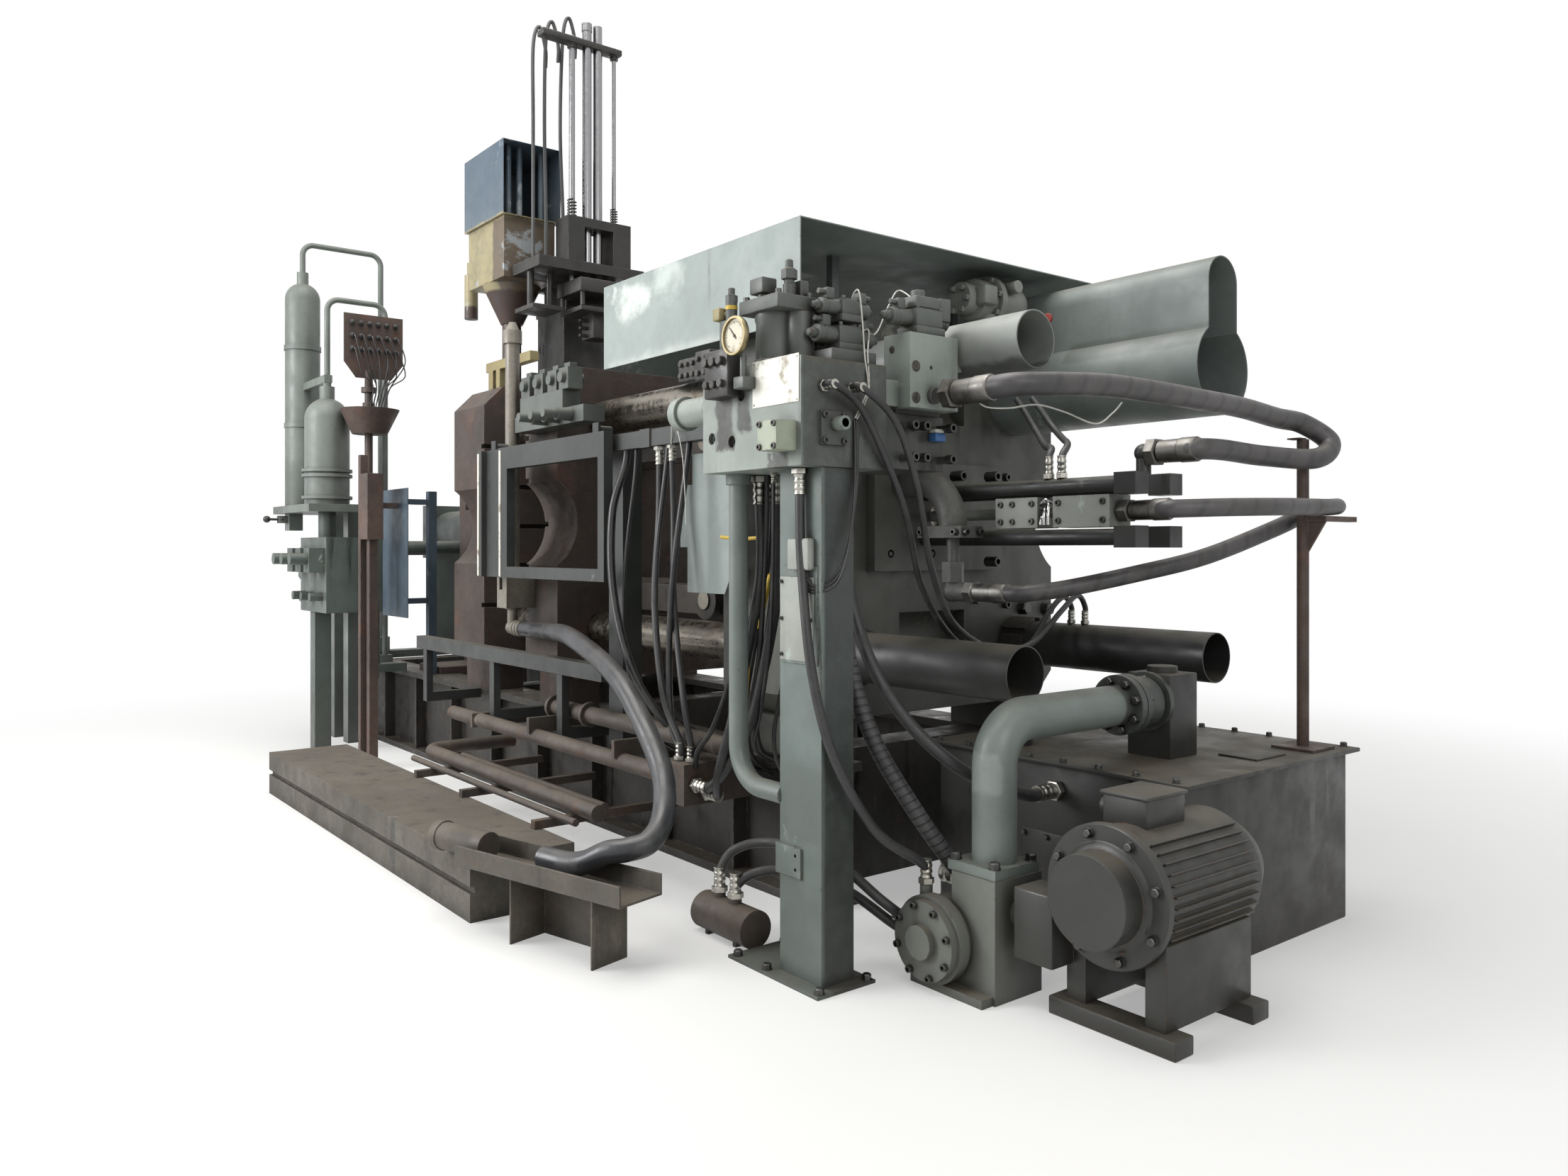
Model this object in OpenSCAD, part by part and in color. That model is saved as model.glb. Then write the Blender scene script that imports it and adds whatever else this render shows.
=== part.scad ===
// Cold-chamber die casting machine with a toggle clamp, as it stands on a shop floor.
// Origin: on the floor, on the machine's axis, under the middle cross member of the bed.
// +X points from the injection end to the rear of the clamp, +Y to the far side, +Z up.

/* [Bed] */
// Height of the bed over the floor
bed_h = 620; // [580:5:640]
// Width of one bed beam over its flanges
beam_w = 240; // [200:10:260]
// Thickness of the beam's flanges and web
beam_t = 40; // [25:5:50]
// Distance between the two beams, centre to centre
beam_gauge = 1400; // [1340:10:1440]
// Length of the bed in front of the origin, at the injection end
bed_front = 3900; // [3880:10:4100]
// Width of one cross member
cross_w = 200; // [140:10:240]

/* [Clamp] */
// Height of the machine's axis over the floor
axis_z = 1705; // [1690:5:1720]
// Width of the platens
platen_w = 1770; // [1740:10:1780]
// Height of the platens
platen_h = 1840; // [1800:10:1850]
// Thickness of the rear platen
rear_t = 480; // [440:10:500]
// Thickness of the moving platen
moving_t = 420; // [380:10:440]
// Thickness of the fixed platen
fixed_t = 500; // [470:10:530]
// Front face of the rear platen, from the origin
rear_x = 1680; // [1665:5:1695]
// Distance from the rear platen to the moving platen, clamp closed
toggle_len = 1680; // [1650:10:1700]
// Distance between the closed platens, where the die sits
die_gap = 620; // [600:10:650]
// Cut-off at the platens' corners
platen_chamfer = 130; // [60:10:160]
// Diameter of a tie bar
tie_d = 200; // [170:5:220]
// Tie bar spacing across the machine
tie_y = 1180; // [1160:10:1200]
// Tie bar spacing up the machine
tie_z = 1250; // [1220:10:1260]
// Length of tie bar past the rear platen
tie_tail = 560; // [460:10:600]
// Thickness of a tie bar nut
nut_t = 150; // [120:10:170]
// Thickness of the clamp cylinder's flange on the rear platen
boss_t = 60; // [40:5:80]

/* [Toggle] */
// Height of the main toggle pins over and under the axis
toggle_z = 430; // [410:10:440]
// Distance of each link pair from the machine's middle
toggle_y = 360; // [350:5:370]
// Length of a rear link between its pins
rear_link = 620; // [580:10:660]
// Width of a link's eye
link_eye = 210; // [190:5:220]
// Thickness of a rear link
link_t = 120; // [100:5:125]
// Thickness of one cheek of a front link
cheek_t = 50; // [40:5:52]
// Diameter of a toggle pin
pin_d = 100; // [80:5:110]

/* [Covers] */
// Length of the hood over the toggle
hood_l = 1600; // [1560:10:1640]
// Width of the hood
hood_w = 2114; // [2080:2:2160]
// Height of the hood's side
hood_h = 420; // [390:10:440]
// Height of the hood's top over the floor
hood_top = 2890; // [2870:10:2910]
// Thickness of the hood's sheet
sheet_t = 5; // [3:1:8]
// Outer diameter of a tie bar cover
cover_d = 270; // [264:2:280]
// Wall of a tie bar cover
cover_t = 6; // [4:1:8]

/* [Hydraulics] */
// Length of the near manifold block
block_l = 600; // [580:10:620]
// Width of the near manifold block
block_w = 400; // [390:5:410]
// Height of the near manifold block
block_h = 380; // [360:10:400]
// Height of the column under the near manifold block
column_h = 1840; // [1820:10:1860]
// Width of the column along the machine
column_l = 236; // [220:4:240]
// Depth of the column across the machine
column_d = 150; // [140:5:155]
// Outer diameter of the big rear hoses
hose_d = 64; // [54:2:68]
// Outer diameter of the drain hose
drain_d = 92; // [80:2:96]
// Diameter of the riser pipe at the rear
riser_d = 126; // [110:2:140]

/* [Injection] */
// Diameter of the tall accumulator bottle
tall_d = 270; // [250:5:280]
// Height of the tall bottle's barrel and dome
tall_h = 1850; // [1750:10:1900]
// Diameter of the short accumulator bottle
short_d = 330; // [310:5:340]
// Height of the short bottle's barrel and dome
short_h = 830; // [780:10:880]
// Diameter of the shot cylinder
shot_d = 360; // [320:10:380]
// Length of the shot cylinder
shot_l = 1250; // [1200:10:1260]

/* [Spray lift] */
// Diameter of a chromed lift tube
lift_d = 62; // [56:2:64]
// Diameter of a guide rod beside the chromed tubes
guide_rod_d = 26; // [22:2:30]
// Height of the lift's top over the floor
lift_top = 5100; // [5020:10:5200]

/* [Guard] */
// Length of the sliding guard frame
guard_l = 1530; // [1400:10:1560]
// Height of the sliding guard frame
guard_h = 740; // [700:10:780]
// Width of the guard frame's bars
guard_bar = 62; // [50:2:70]

/* [Hidden] */
$fn = 48;
// Clearance of a bar, rod or pin in its hole, all round
fit = 0.3;

tie_hole = tie_d + 2 * fit;
platen_z0 = axis_z - platen_h / 2;
platen_z1 = axis_z + platen_h / 2;
rear_x1 = rear_x + rear_t;
boss_x1 = rear_x1 + boss_t;
moving_x1 = rear_x - toggle_len;
moving_x0 = moving_x1 - moving_t;
fixed_x1 = moving_x0 - die_gap;
fixed_x0 = fixed_x1 - fixed_t;
tie_x0 = fixed_x0 - nut_t - 60;
tie_x1 = rear_x1 + tie_tail;
bed_x1 = rear_x1 + 140;
// Inner and outer edges of the beams' flanges, from the machine's middle
beam_in = (beam_gauge - beam_w) / 2;
beam_out = (beam_gauge + beam_w) / 2;
corners = [[-1, -1], [-1, 1], [1, -1], [1, 1]];

// A box between two corners
module box(a, b) {
    translate(a)
        cube(b - a);
}

// A round bar along X
module bar_x(d, x0, x1, y, z) {
    translate([x0, y, z])
        rotate([0, 90, 0])
            cylinder(d = d, h = x1 - x0);
}

// A round bar along Y
module bar_y(d, y0, y1, x, z) {
    translate([x, y0, z])
        rotate([-90, 0, 0])
            cylinder(d = d, h = y1 - y0);
}

// A round bar along Z
module bar_z(d, z0, z1, x, y) {
    translate([x, y, z0])
        cylinder(d = d, h = z1 - z0);
}

// A profile drawn across the machine, in Y and Z, and extruded along X
module along_x(x0, x1) {
    translate([x0, 0, 0])
        rotate([90, 0, 90])
            linear_extrude(x1 - x0)
                children();
}

// A profile drawn in X and Z and extruded along Y
module along_y(y0, y1) {
    translate([0, y1, 0])
        rotate([90, 0, 0])
            linear_extrude(y1 - y0)
                children();
}

// A quarter bend of a pipe about the origin, from +X to +Y, in the plane of X and Y
module bend(d, r) {
    rotate_extrude(angle = 90)
        translate([r, 0])
            circle(d = d);
}

function unit(v) = v / norm(v);
// One point of the smooth curve between b and c, with a before and d after them
function curve_point(a, b, c, d, t) =
    0.5 * (2 * b + (c - a) * t + (2 * a - 5 * b + 4 * c - d) * t * t + (3 * b - a - 3 * c + d) * t * t * t);
function curve(p, n) =
    let (m = len(p) - 1)
    concat(
        [for (i = [0 : m - 1]) for (j = [0 : n - 1])
            curve_point(p[max(i - 1, 0)], p[i], p[i + 1], p[min(i + 2, m)], j / n)],
        [p[m]]
    );

// A hose swept along a smooth curve through its route's points, its ends square to its first and last legs
module hose(route, d, across = [0, 1, 0], steps = 4, sides = 12) {
    path = curve(route, steps);
    last = len(path) - 1;
    end = len(route) - 1;
    ahead = [
        for (i = [0 : last])
            i == 0 ? unit(route[1] - route[0])
            : i == last ? unit(route[end] - route[end - 1])
            : unit(path[i + 1] - path[i - 1])
    ];
    points = [
        for (i = [0 : last])
            let (u = unit(cross(ahead[i], across)), v = cross(ahead[i], u))
            for (k = [0 : sides - 1])
                path[i] + d / 2 * (cos(360 * k / sides) * u + sin(360 * k / sides) * v)
    ];
    walls = [
        for (i = [0 : last - 1])
            for (k = [0 : sides - 1])
                let (n = (k + 1) % sides)
                [i * sides + k, (i + 1) * sides + k, (i + 1) * sides + n, i * sides + n]
    ];
    first_cap = [for (k = [0 : sides - 1]) k];
    last_cap = [for (k = [sides - 1 : -1 : 0]) last * sides + k];
    polyhedron(points = points, faces = concat(walls, [first_cap], [last_cap]), convexity = 8);
}

stiffener_t = 20;
stiffener_step = 690;

module bed_beam(side) {
    y = side * beam_gauge / 2;
    color("#5b6562")
        union() {
            box([-bed_front, y - beam_w / 2, 0], [bed_x1, y + beam_w / 2, beam_t]);
            box([-bed_front, y - beam_w / 2, bed_h - beam_t], [bed_x1, y + beam_w / 2, bed_h]);
            box([-bed_front, y - beam_t / 2, 0], [bed_x1, y + beam_t / 2, bed_h]);
            for (x = [-bed_front : stiffener_step : bed_x1 - beam_t])
                box(
                    [x, y - beam_w / 2 + stiffener_t, 0],
                    [x + stiffener_t, y + beam_w / 2 - stiffener_t, bed_h]
                );
        }
}

module near_bed_beam() bed_beam(-1);
module far_bed_beam() bed_beam(1);

module bed_cross_members() {
    color("#4f5856")
        for (x = [-bed_front + 300, fixed_x0 + fixed_t / 2, 0, rear_x + rear_t / 2])
            box([x - cross_w / 2, -beam_in, 0], [x + cross_w / 2, beam_in, bed_h]);
}

side_hollow_r = 300;
side_hollow_out = 170;

// The outline of a platen, with cut corners and hollowed sides
module platen_outline() {
    c = platen_chamfer;
    w = platen_w / 2;
    h = platen_h / 2;
    difference() {
        polygon([
            [-w + c, -h], [w - c, -h], [w, -h + c], [w, h - c],
            [w - c, h], [-w + c, h], [-w, h - c], [-w, -h + c]
        ]);
        for (s = [-1, 1])
            translate([s * (w + side_hollow_out), 0])
                circle(r = side_hollow_r);
    }
}

foot_in = 40;

// A platen's plate and its two feet on the bed
module platen_body(x0, x1) {
    translate([0, 0, axis_z])
        along_x(x0, x1)
            platen_outline();
    for (s = [-1, 1])
        box(
            [x0 + foot_in, s * beam_gauge / 2 - 110, bed_h],
            [x1 - foot_in, s * beam_gauge / 2 + 110, platen_z0 + 20]
        );
}

module tie_holes() {
    for (c = corners)
        bar_x(tie_hole, tie_x0 - 10, tie_x1 + 10, c[0] * tie_y / 2, axis_z + c[1] * tie_z / 2);
}

// One lug with a round end that carries a toggle pin
module lug(x_face, x_pin, y, z, t) {
    union() {
        bar_y(link_eye, y - t / 2, y + t / 2, x_pin, z);
        box(
            [min(x_face, x_pin), y - t / 2, z - link_eye / 2],
            [max(x_face, x_pin), y + t / 2, z + link_eye / 2]
        );
    }
}

rear_pin_x = rear_x - 150;
front_pin_x = moving_x1 + 170;
mid_pin_x = rear_pin_x - rear_link;
cheek_gap = 0.5;
outer_lug_y = link_t / 2 + cheek_gap + cheek_t / 2;
rod_d = 120;
ram_bore = 150;
guide_d = 90;
guide_y = 230;
guide_seat = 80;
boss_y = 430;
boss_z = 255;
scallop_r = 110;
scallop_z = 560;

module rear_platen() {
    color("#8b938e")
        difference() {
            union() {
                platen_body(rear_x, rear_x1);
                box([rear_x1, -boss_y, axis_z - boss_z], [boss_x1, boss_y, axis_z + boss_z]);
                for (sy = [-1, 1], sz = [-1, 1], k = [-1, 1])
                    lug(rear_x, rear_pin_x, sy * toggle_y + k * outer_lug_y, axis_z + sz * toggle_z, cheek_t);
            }
            tie_holes();
            for (sz = [-1, 1])
                bar_y(pin_d + 2 * fit, -platen_w / 2, platen_w / 2, rear_pin_x, axis_z + sz * toggle_z);
            bar_x(ram_bore, rear_x - 10, boss_x1 + 10, 0, axis_z);
            for (sy = [-1, 1])
                bar_x(guide_d + 2 * fit, rear_x - 1, rear_x + guide_seat, sy * guide_y, axis_z);
            for (sz = [-1, 1])
                along_y(-scallop_r * 2, scallop_r * 2)
                    translate([rear_x1, axis_z + sz * scallop_z])
                        circle(r = scallop_r);
        }
}

slot_w = 30;
slot_deep = 45;
slot_rows = [-520 : 260 : 520];

// The clamping slots in the face of a platen; s is the way that the face looks along X
module platen_slots(x_face, s) {
    for (z = slot_rows)
        box(
            [x_face - (s > 0 ? slot_deep : 1), -platen_w / 2 - 10, axis_z + z - slot_w / 2],
            [x_face + (s > 0 ? 1 : slot_deep), platen_w / 2 + 10, axis_z + z + slot_w / 2]
        );
}

module moving_platen() {
    color("#6e6358")
        difference() {
            union() {
                platen_body(moving_x0, moving_x1);
                for (sy = [-1, 1], sz = [-1, 1])
                    lug(moving_x1, front_pin_x, sy * toggle_y, axis_z + sz * toggle_z, link_t);
            }
            tie_holes();
            for (sz = [-1, 1])
                bar_y(pin_d + 2 * fit, -platen_w / 2, platen_w / 2, front_pin_x, axis_z + sz * toggle_z);
            platen_slots(moving_x0, -1);
        }
}

sleeve_d = 190;

module fixed_platen() {
    color("#6f5e54")
        difference() {
            platen_body(fixed_x0, fixed_x1);
            tie_holes();
            bar_x(sleeve_d + 2 * fit, fixed_x0 - 10, fixed_x1 + 10, 0, axis_z);
            platen_slots(fixed_x1, 1);
        }
}

module tie_bars() {
    color("#b9bcbb")
        for (c = corners)
            bar_x(tie_d, tie_x0, tie_x1, c[0] * tie_y / 2, axis_z + c[1] * tie_z / 2);
}

notch_w = 36;
notch_deep = 22;

module tie_bar_nuts() {
    nut_d = cover_d - 2 * cover_t - 2;
    color("#4a4d4c")
        for (c = corners, x = [fixed_x0 - nut_t, rear_x1])
            translate([x, c[0] * tie_y / 2, axis_z + c[1] * tie_z / 2])
                rotate([0, 90, 0])
                    difference() {
                        cylinder(d = nut_d, h = nut_t);
                        translate([0, 0, -1])
                            cylinder(d = tie_hole, h = nut_t + 2);
                        for (a = [0 : 60 : 300])
                            rotate([0, 0, a])
                                translate([nut_d / 2, 0, nut_t / 2])
                                    cube([2 * notch_deep, notch_w, nut_t + 2], center = true);
                    }
}

waist = 0.36;

// A link with two eyes, drawn in X and Z
module link(x0, x1, z, y, t) {
    difference() {
        union() {
            bar_y(link_eye, y - t / 2, y + t / 2, x0, z);
            bar_y(link_eye, y - t / 2, y + t / 2, x1, z);
            box([x0, y - t / 2, z - link_eye * waist], [x1, y + t / 2, z + link_eye * waist]);
        }
        for (x = [x0, x1])
            bar_y(pin_d + 2 * fit, y - t / 2 - 1, y + t / 2 + 1, x, z);
    }
}

module rear_links() {
    color("#56524c")
        for (sy = [-1, 1], sz = [-1, 1])
            link(mid_pin_x, rear_pin_x, axis_z + sz * toggle_z, sy * toggle_y, link_t);
}

module front_links() {
    color("#5e5a53")
        for (sy = [-1, 1], sz = [-1, 1], k = [-1, 1])
            link(front_pin_x, mid_pin_x, axis_z + sz * toggle_z, sy * toggle_y + k * outer_lug_y, cheek_t);
}

pin_out = 10;

module toggle_pins() {
    half = outer_lug_y + cheek_t / 2 + pin_out;
    color("#a9a9a4")
        for (x = [front_pin_x, mid_pin_x, rear_pin_x], sy = [-1, 1], sz = [-1, 1])
            bar_y(pin_d, sy * toggle_y - half, sy * toggle_y + half, x, axis_z + sz * toggle_z);
}

crosshead_x0 = mid_pin_x - 90;
crosshead_x1 = mid_pin_x + 90;
crosshead_h = 110;
crosshead_ear = 250;

module crosshead() {
    color("#67625a")
        difference() {
            union() {
                box(
                    [crosshead_x0, -guide_y - guide_d, axis_z - crosshead_h],
                    [crosshead_x1, guide_y + guide_d, axis_z + crosshead_h]
                );
                box(
                    [crosshead_x0 + 30, -rod_d / 2 - 30, axis_z - crosshead_ear],
                    [crosshead_x1 - 30, rod_d / 2 + 30, axis_z + crosshead_ear]
                );
            }
            for (sy = [-1, 1])
                bar_x(guide_d + 2 * fit, crosshead_x0 - 1, crosshead_x1 + 1, sy * guide_y, axis_z);
            bar_x(rod_d + 2 * fit, crosshead_x0 - 1, crosshead_x1 + 1, 0, axis_z);
        }
}

module crosshead_guides() {
    color("#c4c6c4")
        union() {
            for (sy = [-1, 1])
                bar_x(guide_d, crosshead_x0 - 200, rear_x + guide_seat, sy * guide_y, axis_z);
            bar_x(rod_d, crosshead_x0 - 60, boss_x1 - 60, 0, axis_z);
        }
}

// A round tube with a thin wall along X, open at its rear end
module cover_tube(length, y, z) {
    difference() {
        bar_x(cover_d, rear_x1, rear_x1 + length, y, z);
        bar_x(cover_d - 2 * cover_t, rear_x1 - 1, rear_x1 + length + 1, y, z);
    }
}

near_upper_l = 1110;
near_lower_l = 840;
far_upper_l = 1160;
far_lower_l = 1130;

module near_upper_cover() {
    color("#a9b9b1")
        cover_tube(near_upper_l, -tie_y / 2, axis_z + tie_z / 2);
}

module near_lower_cover() {
    color("#4d524f")
        cover_tube(near_lower_l, -tie_y / 2, axis_z - tie_z / 2);
}

module far_lower_cover() {
    color("#4d524f")
        cover_tube(far_lower_l, tie_y / 2, axis_z - tie_z / 2);
}

lobe_d = 160;
lobe_rise = 400;

// The far upper cover: a tube with a narrower round-topped chamber over it
module far_upper_cover() {
    lobe_z = lobe_rise - lobe_d / 2;
    color("#a9b9b1")
        translate([0, tie_y / 2, axis_z + tie_z / 2])
            along_x(rear_x1, rear_x1 + far_upper_l)
                difference() {
                    union() {
                        circle(d = cover_d);
                        translate([-lobe_d / 2, 0])
                            square([lobe_d, lobe_z]);
                        translate([0, lobe_z])
                            circle(d = lobe_d);
                    }
                    circle(d = cover_d - 2 * cover_t);
                    translate([-lobe_d / 2 + cover_t, 0])
                        square([lobe_d - 2 * cover_t, lobe_z]);
                    translate([0, lobe_z])
                        circle(d = lobe_d - 2 * cover_t);
                }
}

hood_x0 = rear_x - 820;
hood_x1 = hood_x0 + hood_l;
hood_post = 40;
hood_post_y = 560;

module top_hood() {
    z0 = hood_top - hood_h;
    y = hood_w / 2;
    color("#a8bab3")
        union() {
            difference() {
                box([hood_x0, -y, z0], [hood_x1, y, hood_top]);
                box([hood_x0 + sheet_t, -y + sheet_t, z0 - 1], [hood_x1 + 1, y - sheet_t, hood_top - sheet_t]);
            }
            for (sy = [-1, 1], x = [rear_x + 60, rear_x1 - 100])
                box(
                    [x, sy * hood_post_y - hood_post / 2, platen_z1],
                    [x + hood_post, sy * hood_post_y + hood_post / 2, hood_top - sheet_t / 2]
                );
        }
}

ram_y = 115;
ram_z = 105;
ram_rod_d = 66;
ram_x1 = rear_x1 + 1140;
head_w = 86;
head_l = 100;
return_x = ram_x1 - 50;
return_z = 1945;
return_end = return_x + 180;

// Four dark rods with square heads, and the elbow that the upper big hose ends in
module ram_rods() {
    color("#3c3f3e")
        union() {
            for (c = corners)
                union() {
                    bar_x(ram_rod_d, boss_x1, ram_x1, c[0] * ram_y, axis_z + c[1] * ram_z);
                    translate([ram_x1 + head_l / 2, c[0] * ram_y, axis_z + c[1] * ram_z])
                        cube([head_l, head_w, head_w], center = true);
                }
            bar_z(60, axis_z + ram_z, return_z, return_x, ram_y);
            translate([return_x, ram_y, return_z])
                sphere(d = 76);
            bar_x(70, return_x, return_x + 60, ram_y, return_z);
            bar_x(hose_d + 4, return_x + 60, return_end, ram_y, return_z);
        }
}

ram_mid_y = -60;
ram_block_h = 65;
ram_end = rear_x1 + 1260;

// The blocks on the rod between the rams, and the fitting at its end
module ram_blocks() {
    color("#b4beb8")
        union() {
            bar_x(50, boss_x1, rear_x1 + 520, ram_mid_y, axis_z);
            for (s = [[510, 740], [820, 1100]])
                box(
                    [rear_x1 + s[0], ram_mid_y - 70, axis_z - ram_block_h],
                    [rear_x1 + s[1], ram_mid_y + 70, axis_z + ram_block_h]
                );
            bar_x(44, rear_x1 + 730, rear_x1 + 830, ram_mid_y, axis_z);
            bar_x(46, rear_x1 + 1090, rear_x1 + 1200, ram_mid_y, axis_z);
            bar_x(72, rear_x1 + 1190, ram_end, ram_mid_y, axis_z);
        }
}

block_x1 = rear_x1 + 810;
block_x0 = block_x1 - block_l;
block_y1 = -platen_w / 2 - 180;
block_y0 = block_y1 - block_w;
block_z1 = column_h + block_h;
column_x1 = block_x1 - 10;
column_x0 = column_x1 - column_l;
column_y1 = block_y1 - 150;
column_y0 = column_y1 - column_d;
column_wall = 10;
base_t = 12;

module manifold_column() {
    color("#a5b7af")
        union() {
            difference() {
                box([column_x0, column_y0, base_t], [column_x1, column_y1, column_h]);
                box(
                    [column_x0 + column_wall, column_y0 + column_wall, base_t + 1],
                    [column_x1 - column_wall, column_y1 - column_wall, column_h - 1]
                );
            }
            box([column_x0 - 244, column_y0 - 60, 0], [column_x1 + 50, column_y1 + 60, base_t]);
            box([column_x0 + 18, column_y0 - 4, 1140], [column_x1 - 18, column_y0 + 1, 1490]);
            difference() {
                box([column_x0 - 14, column_y0 - 10, 370], [column_x0 + 130, column_y0 + 1, 480]);
                for (z = [400, 450])
                    bar_y(14, column_y0 - 11, column_y0 - 1, column_x0 + 100, z);
            }
        }
}

stub_l = 440;
stub_y = -1265;
stub_z = 2125;

// The big drilled block on the column, with its ports, covers and the side cylinder on its left
module near_manifold() {
    color("#a5b7af")
        difference() {
            union() {
                box([block_x0, block_y0, column_h], [block_x1, block_y1, block_z1]);
                bar_x(120, block_x0 - stub_l, block_x0, stub_y, stub_z);
                bar_x(146, block_x0 - stub_l - 20, block_x0 - stub_l + 30, stub_y, stub_z);
                bar_x(60, block_x0 - stub_l - 34, block_x0 - stub_l, stub_y, stub_z);
                box([block_x1 - 130, block_y0 - 90, column_h + 52], [block_x1 - 24, block_y0, column_h + 154]);
                box([block_x1, block_y1 - 320, column_h + 76], [block_x1 + 15, block_y1 - 205, column_h + 194]);
                bar_x(50, block_x1 + 15, block_x1 + 70, block_y1 - 258, column_h + 150);
            }
            for (p = [[60, 130, 44], [190, 110, 44], [250, 275, 40]])
                bar_y(p[2], block_y0 - 1, block_y0 + 16, block_x0 + p[0], column_h + p[1]);
            for (p = [[60, 130], [190, 110], [250, 275]])
                bar_y(22, block_y0 - 1, block_y0 + 50, block_x0 + p[0], column_h + p[1]);
        }
}

rear_block_y0 = -430;
rear_block_y1 = -76;
rear_block_z0 = 2184;
rear_block_z1 = 2488;
rear_block_x1 = rear_x1 + 240;
outlet_y = -275;
outlet_z = 2227;
outlet_end = rear_block_x1 + 300;

// The block on the upper rear of the platen, the flange below it and the fitting of the upper big hose
module rear_manifold() {
    color("#a3b0aa")
        union() {
            box([rear_x1, rear_block_y0, rear_block_z0], [rear_block_x1, rear_block_y1, rear_block_z1]);
            box([rear_x1, rear_block_y1, rear_block_z1 - 130], [rear_x1 + 180, rear_block_y1 + 80, rear_block_z1 - 30]);
            box([rear_x1, rear_block_y0 + 180, rear_block_z1], [rear_x1 + 150, rear_block_y1, rear_block_z1 + 110]);
            box([rear_x1, -260, 1966], [rear_x1 + 90, 170, 2160]);
            box([rear_x1, -230, 2150], [rear_x1 + 110, -100, rear_block_z0 + 1]);
            for (y = [-210, -115, 110], z = [2000, 2125])
                bar_x(44, rear_x1 + 89, rear_x1 + 160, y, z);
            bar_x(62, rear_block_x1 - 1, rear_block_x1 + 50, outlet_y, outlet_z);
            translate([rear_block_x1 + 50, outlet_y, outlet_z])
                rotate([0, 90, 0])
                    cylinder(d = 100, h = 70, $fn = 6);
            bar_x(hose_d + 8, rear_block_x1 + 120, outlet_end, outlet_y, outlet_z);
        }
}

// One directional valve: body, solenoid barrels at both ends and a socket box on top
module valve_unit(size, coil_d, coil_l) {
    translate([-size[0] / 2, -size[1] / 2, 0])
        cube(size);
    for (s = [-1, 1])
        translate([0, s * size[1] / 2, size[2] * 0.55])
            rotate([-90 * s, 0, 0])
                cylinder(d = coil_d, h = coil_l);
    translate([-size[0] * 0.3, -size[1] * 0.25, size[2] - 1])
        cube([size[0] * 0.6, size[1] * 0.5, size[2] * 0.25]);
}

gauge_y = -1500;
gauge_x = 2540;
gauge_z = 2350;
gauge_d = 138;
filter_x = 2700;
filter_y = -1370;

// What stands on the near and rear blocks: filter body, gauge, pilot valves and the valve stacks
module manifold_valves() {
    z = block_z1;
    color("#6b7370")
        union() {
            bar_z(150, z, z + 215, filter_x, filter_y);
            bar_z(110, z, z + 190, filter_x + 85, filter_y + 50);
            box([filter_x - 100, filter_y - 90, z + 210], [filter_x + 135, filter_y + 90, z + 262]);
            box([filter_x - 60, filter_y - 70, z + 261], [filter_x + 20, filter_y, z + 340]);
            box([filter_x + 40, filter_y - 30, z + 261], [filter_x + 115, filter_y + 50, z + 340]);
            bar_z(46, z + 339, z + 400, filter_x + 70, filter_y + 10);
            box([block_x0 - 130, block_y0 - 65, z - 90], [block_x0 + 130, block_y0 - fit, z + 100]);
            box([block_x0 + 60, block_y0 - 40, z + 99], [block_x0 + 130, block_y0 + 40, z + 220]);
            bar_z(50, z + 219, z + 290, block_x0 + 100, block_y0);
            bar_y(gauge_d, gauge_y - 24, gauge_y + 24, gauge_x, gauge_z);
            bar_z(22, z - 40, gauge_z - gauge_d / 2 + 5, gauge_x, gauge_y);
            box([gauge_x - 18, gauge_y - 18, z - 80], [gauge_x + 18, block_y0 - fit, z - 38]);
            box([block_x1 - 280, block_y1 - 290, z], [block_x1 - 30, block_y1 - 20, z + 50]);
            for (x = [block_x1 - 215, block_x1 - 95])
                translate([x, block_y1 - 155, z + 49])
                    valve_unit([96, 150, 110], 66, 90);
            translate([rear_x1 + 80, (rear_block_y0 + rear_block_y1) / 2 - 110, rear_block_z1 + fit])
                valve_unit([120, 90, 100], 60, 30);
        }
}

prefill_y = 200;
prefill_z = 2735;
prefill_x = rear_x1 + 125;

// The cast prefill valve over the rear platen: foot, neck, round body with flanges
module prefill_valve() {
    color("#8f9794")
        union() {
            box([rear_x1, prefill_y - 100, 2500], [rear_x1 + 240, prefill_y + 100, 2570]);
            bar_z(190, 2569, 2660, prefill_x, prefill_y);
            bar_y(200, prefill_y - 110, prefill_y + 150, prefill_x, prefill_z);
            bar_y(240, prefill_y - 20, prefill_y + 15, prefill_x, prefill_z);
            bar_y(130, prefill_y - 190, prefill_y - 100, prefill_x, prefill_z - 10);
            translate([prefill_x, prefill_y + 150, prefill_z])
                sphere(d = 196);
        }
}

riser_x = 2540;
riser_y = -260;
riser_r = 200;
riser_top = 1850;
riser_low = 1365;
riser_end = riser_x + 240;

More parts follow.
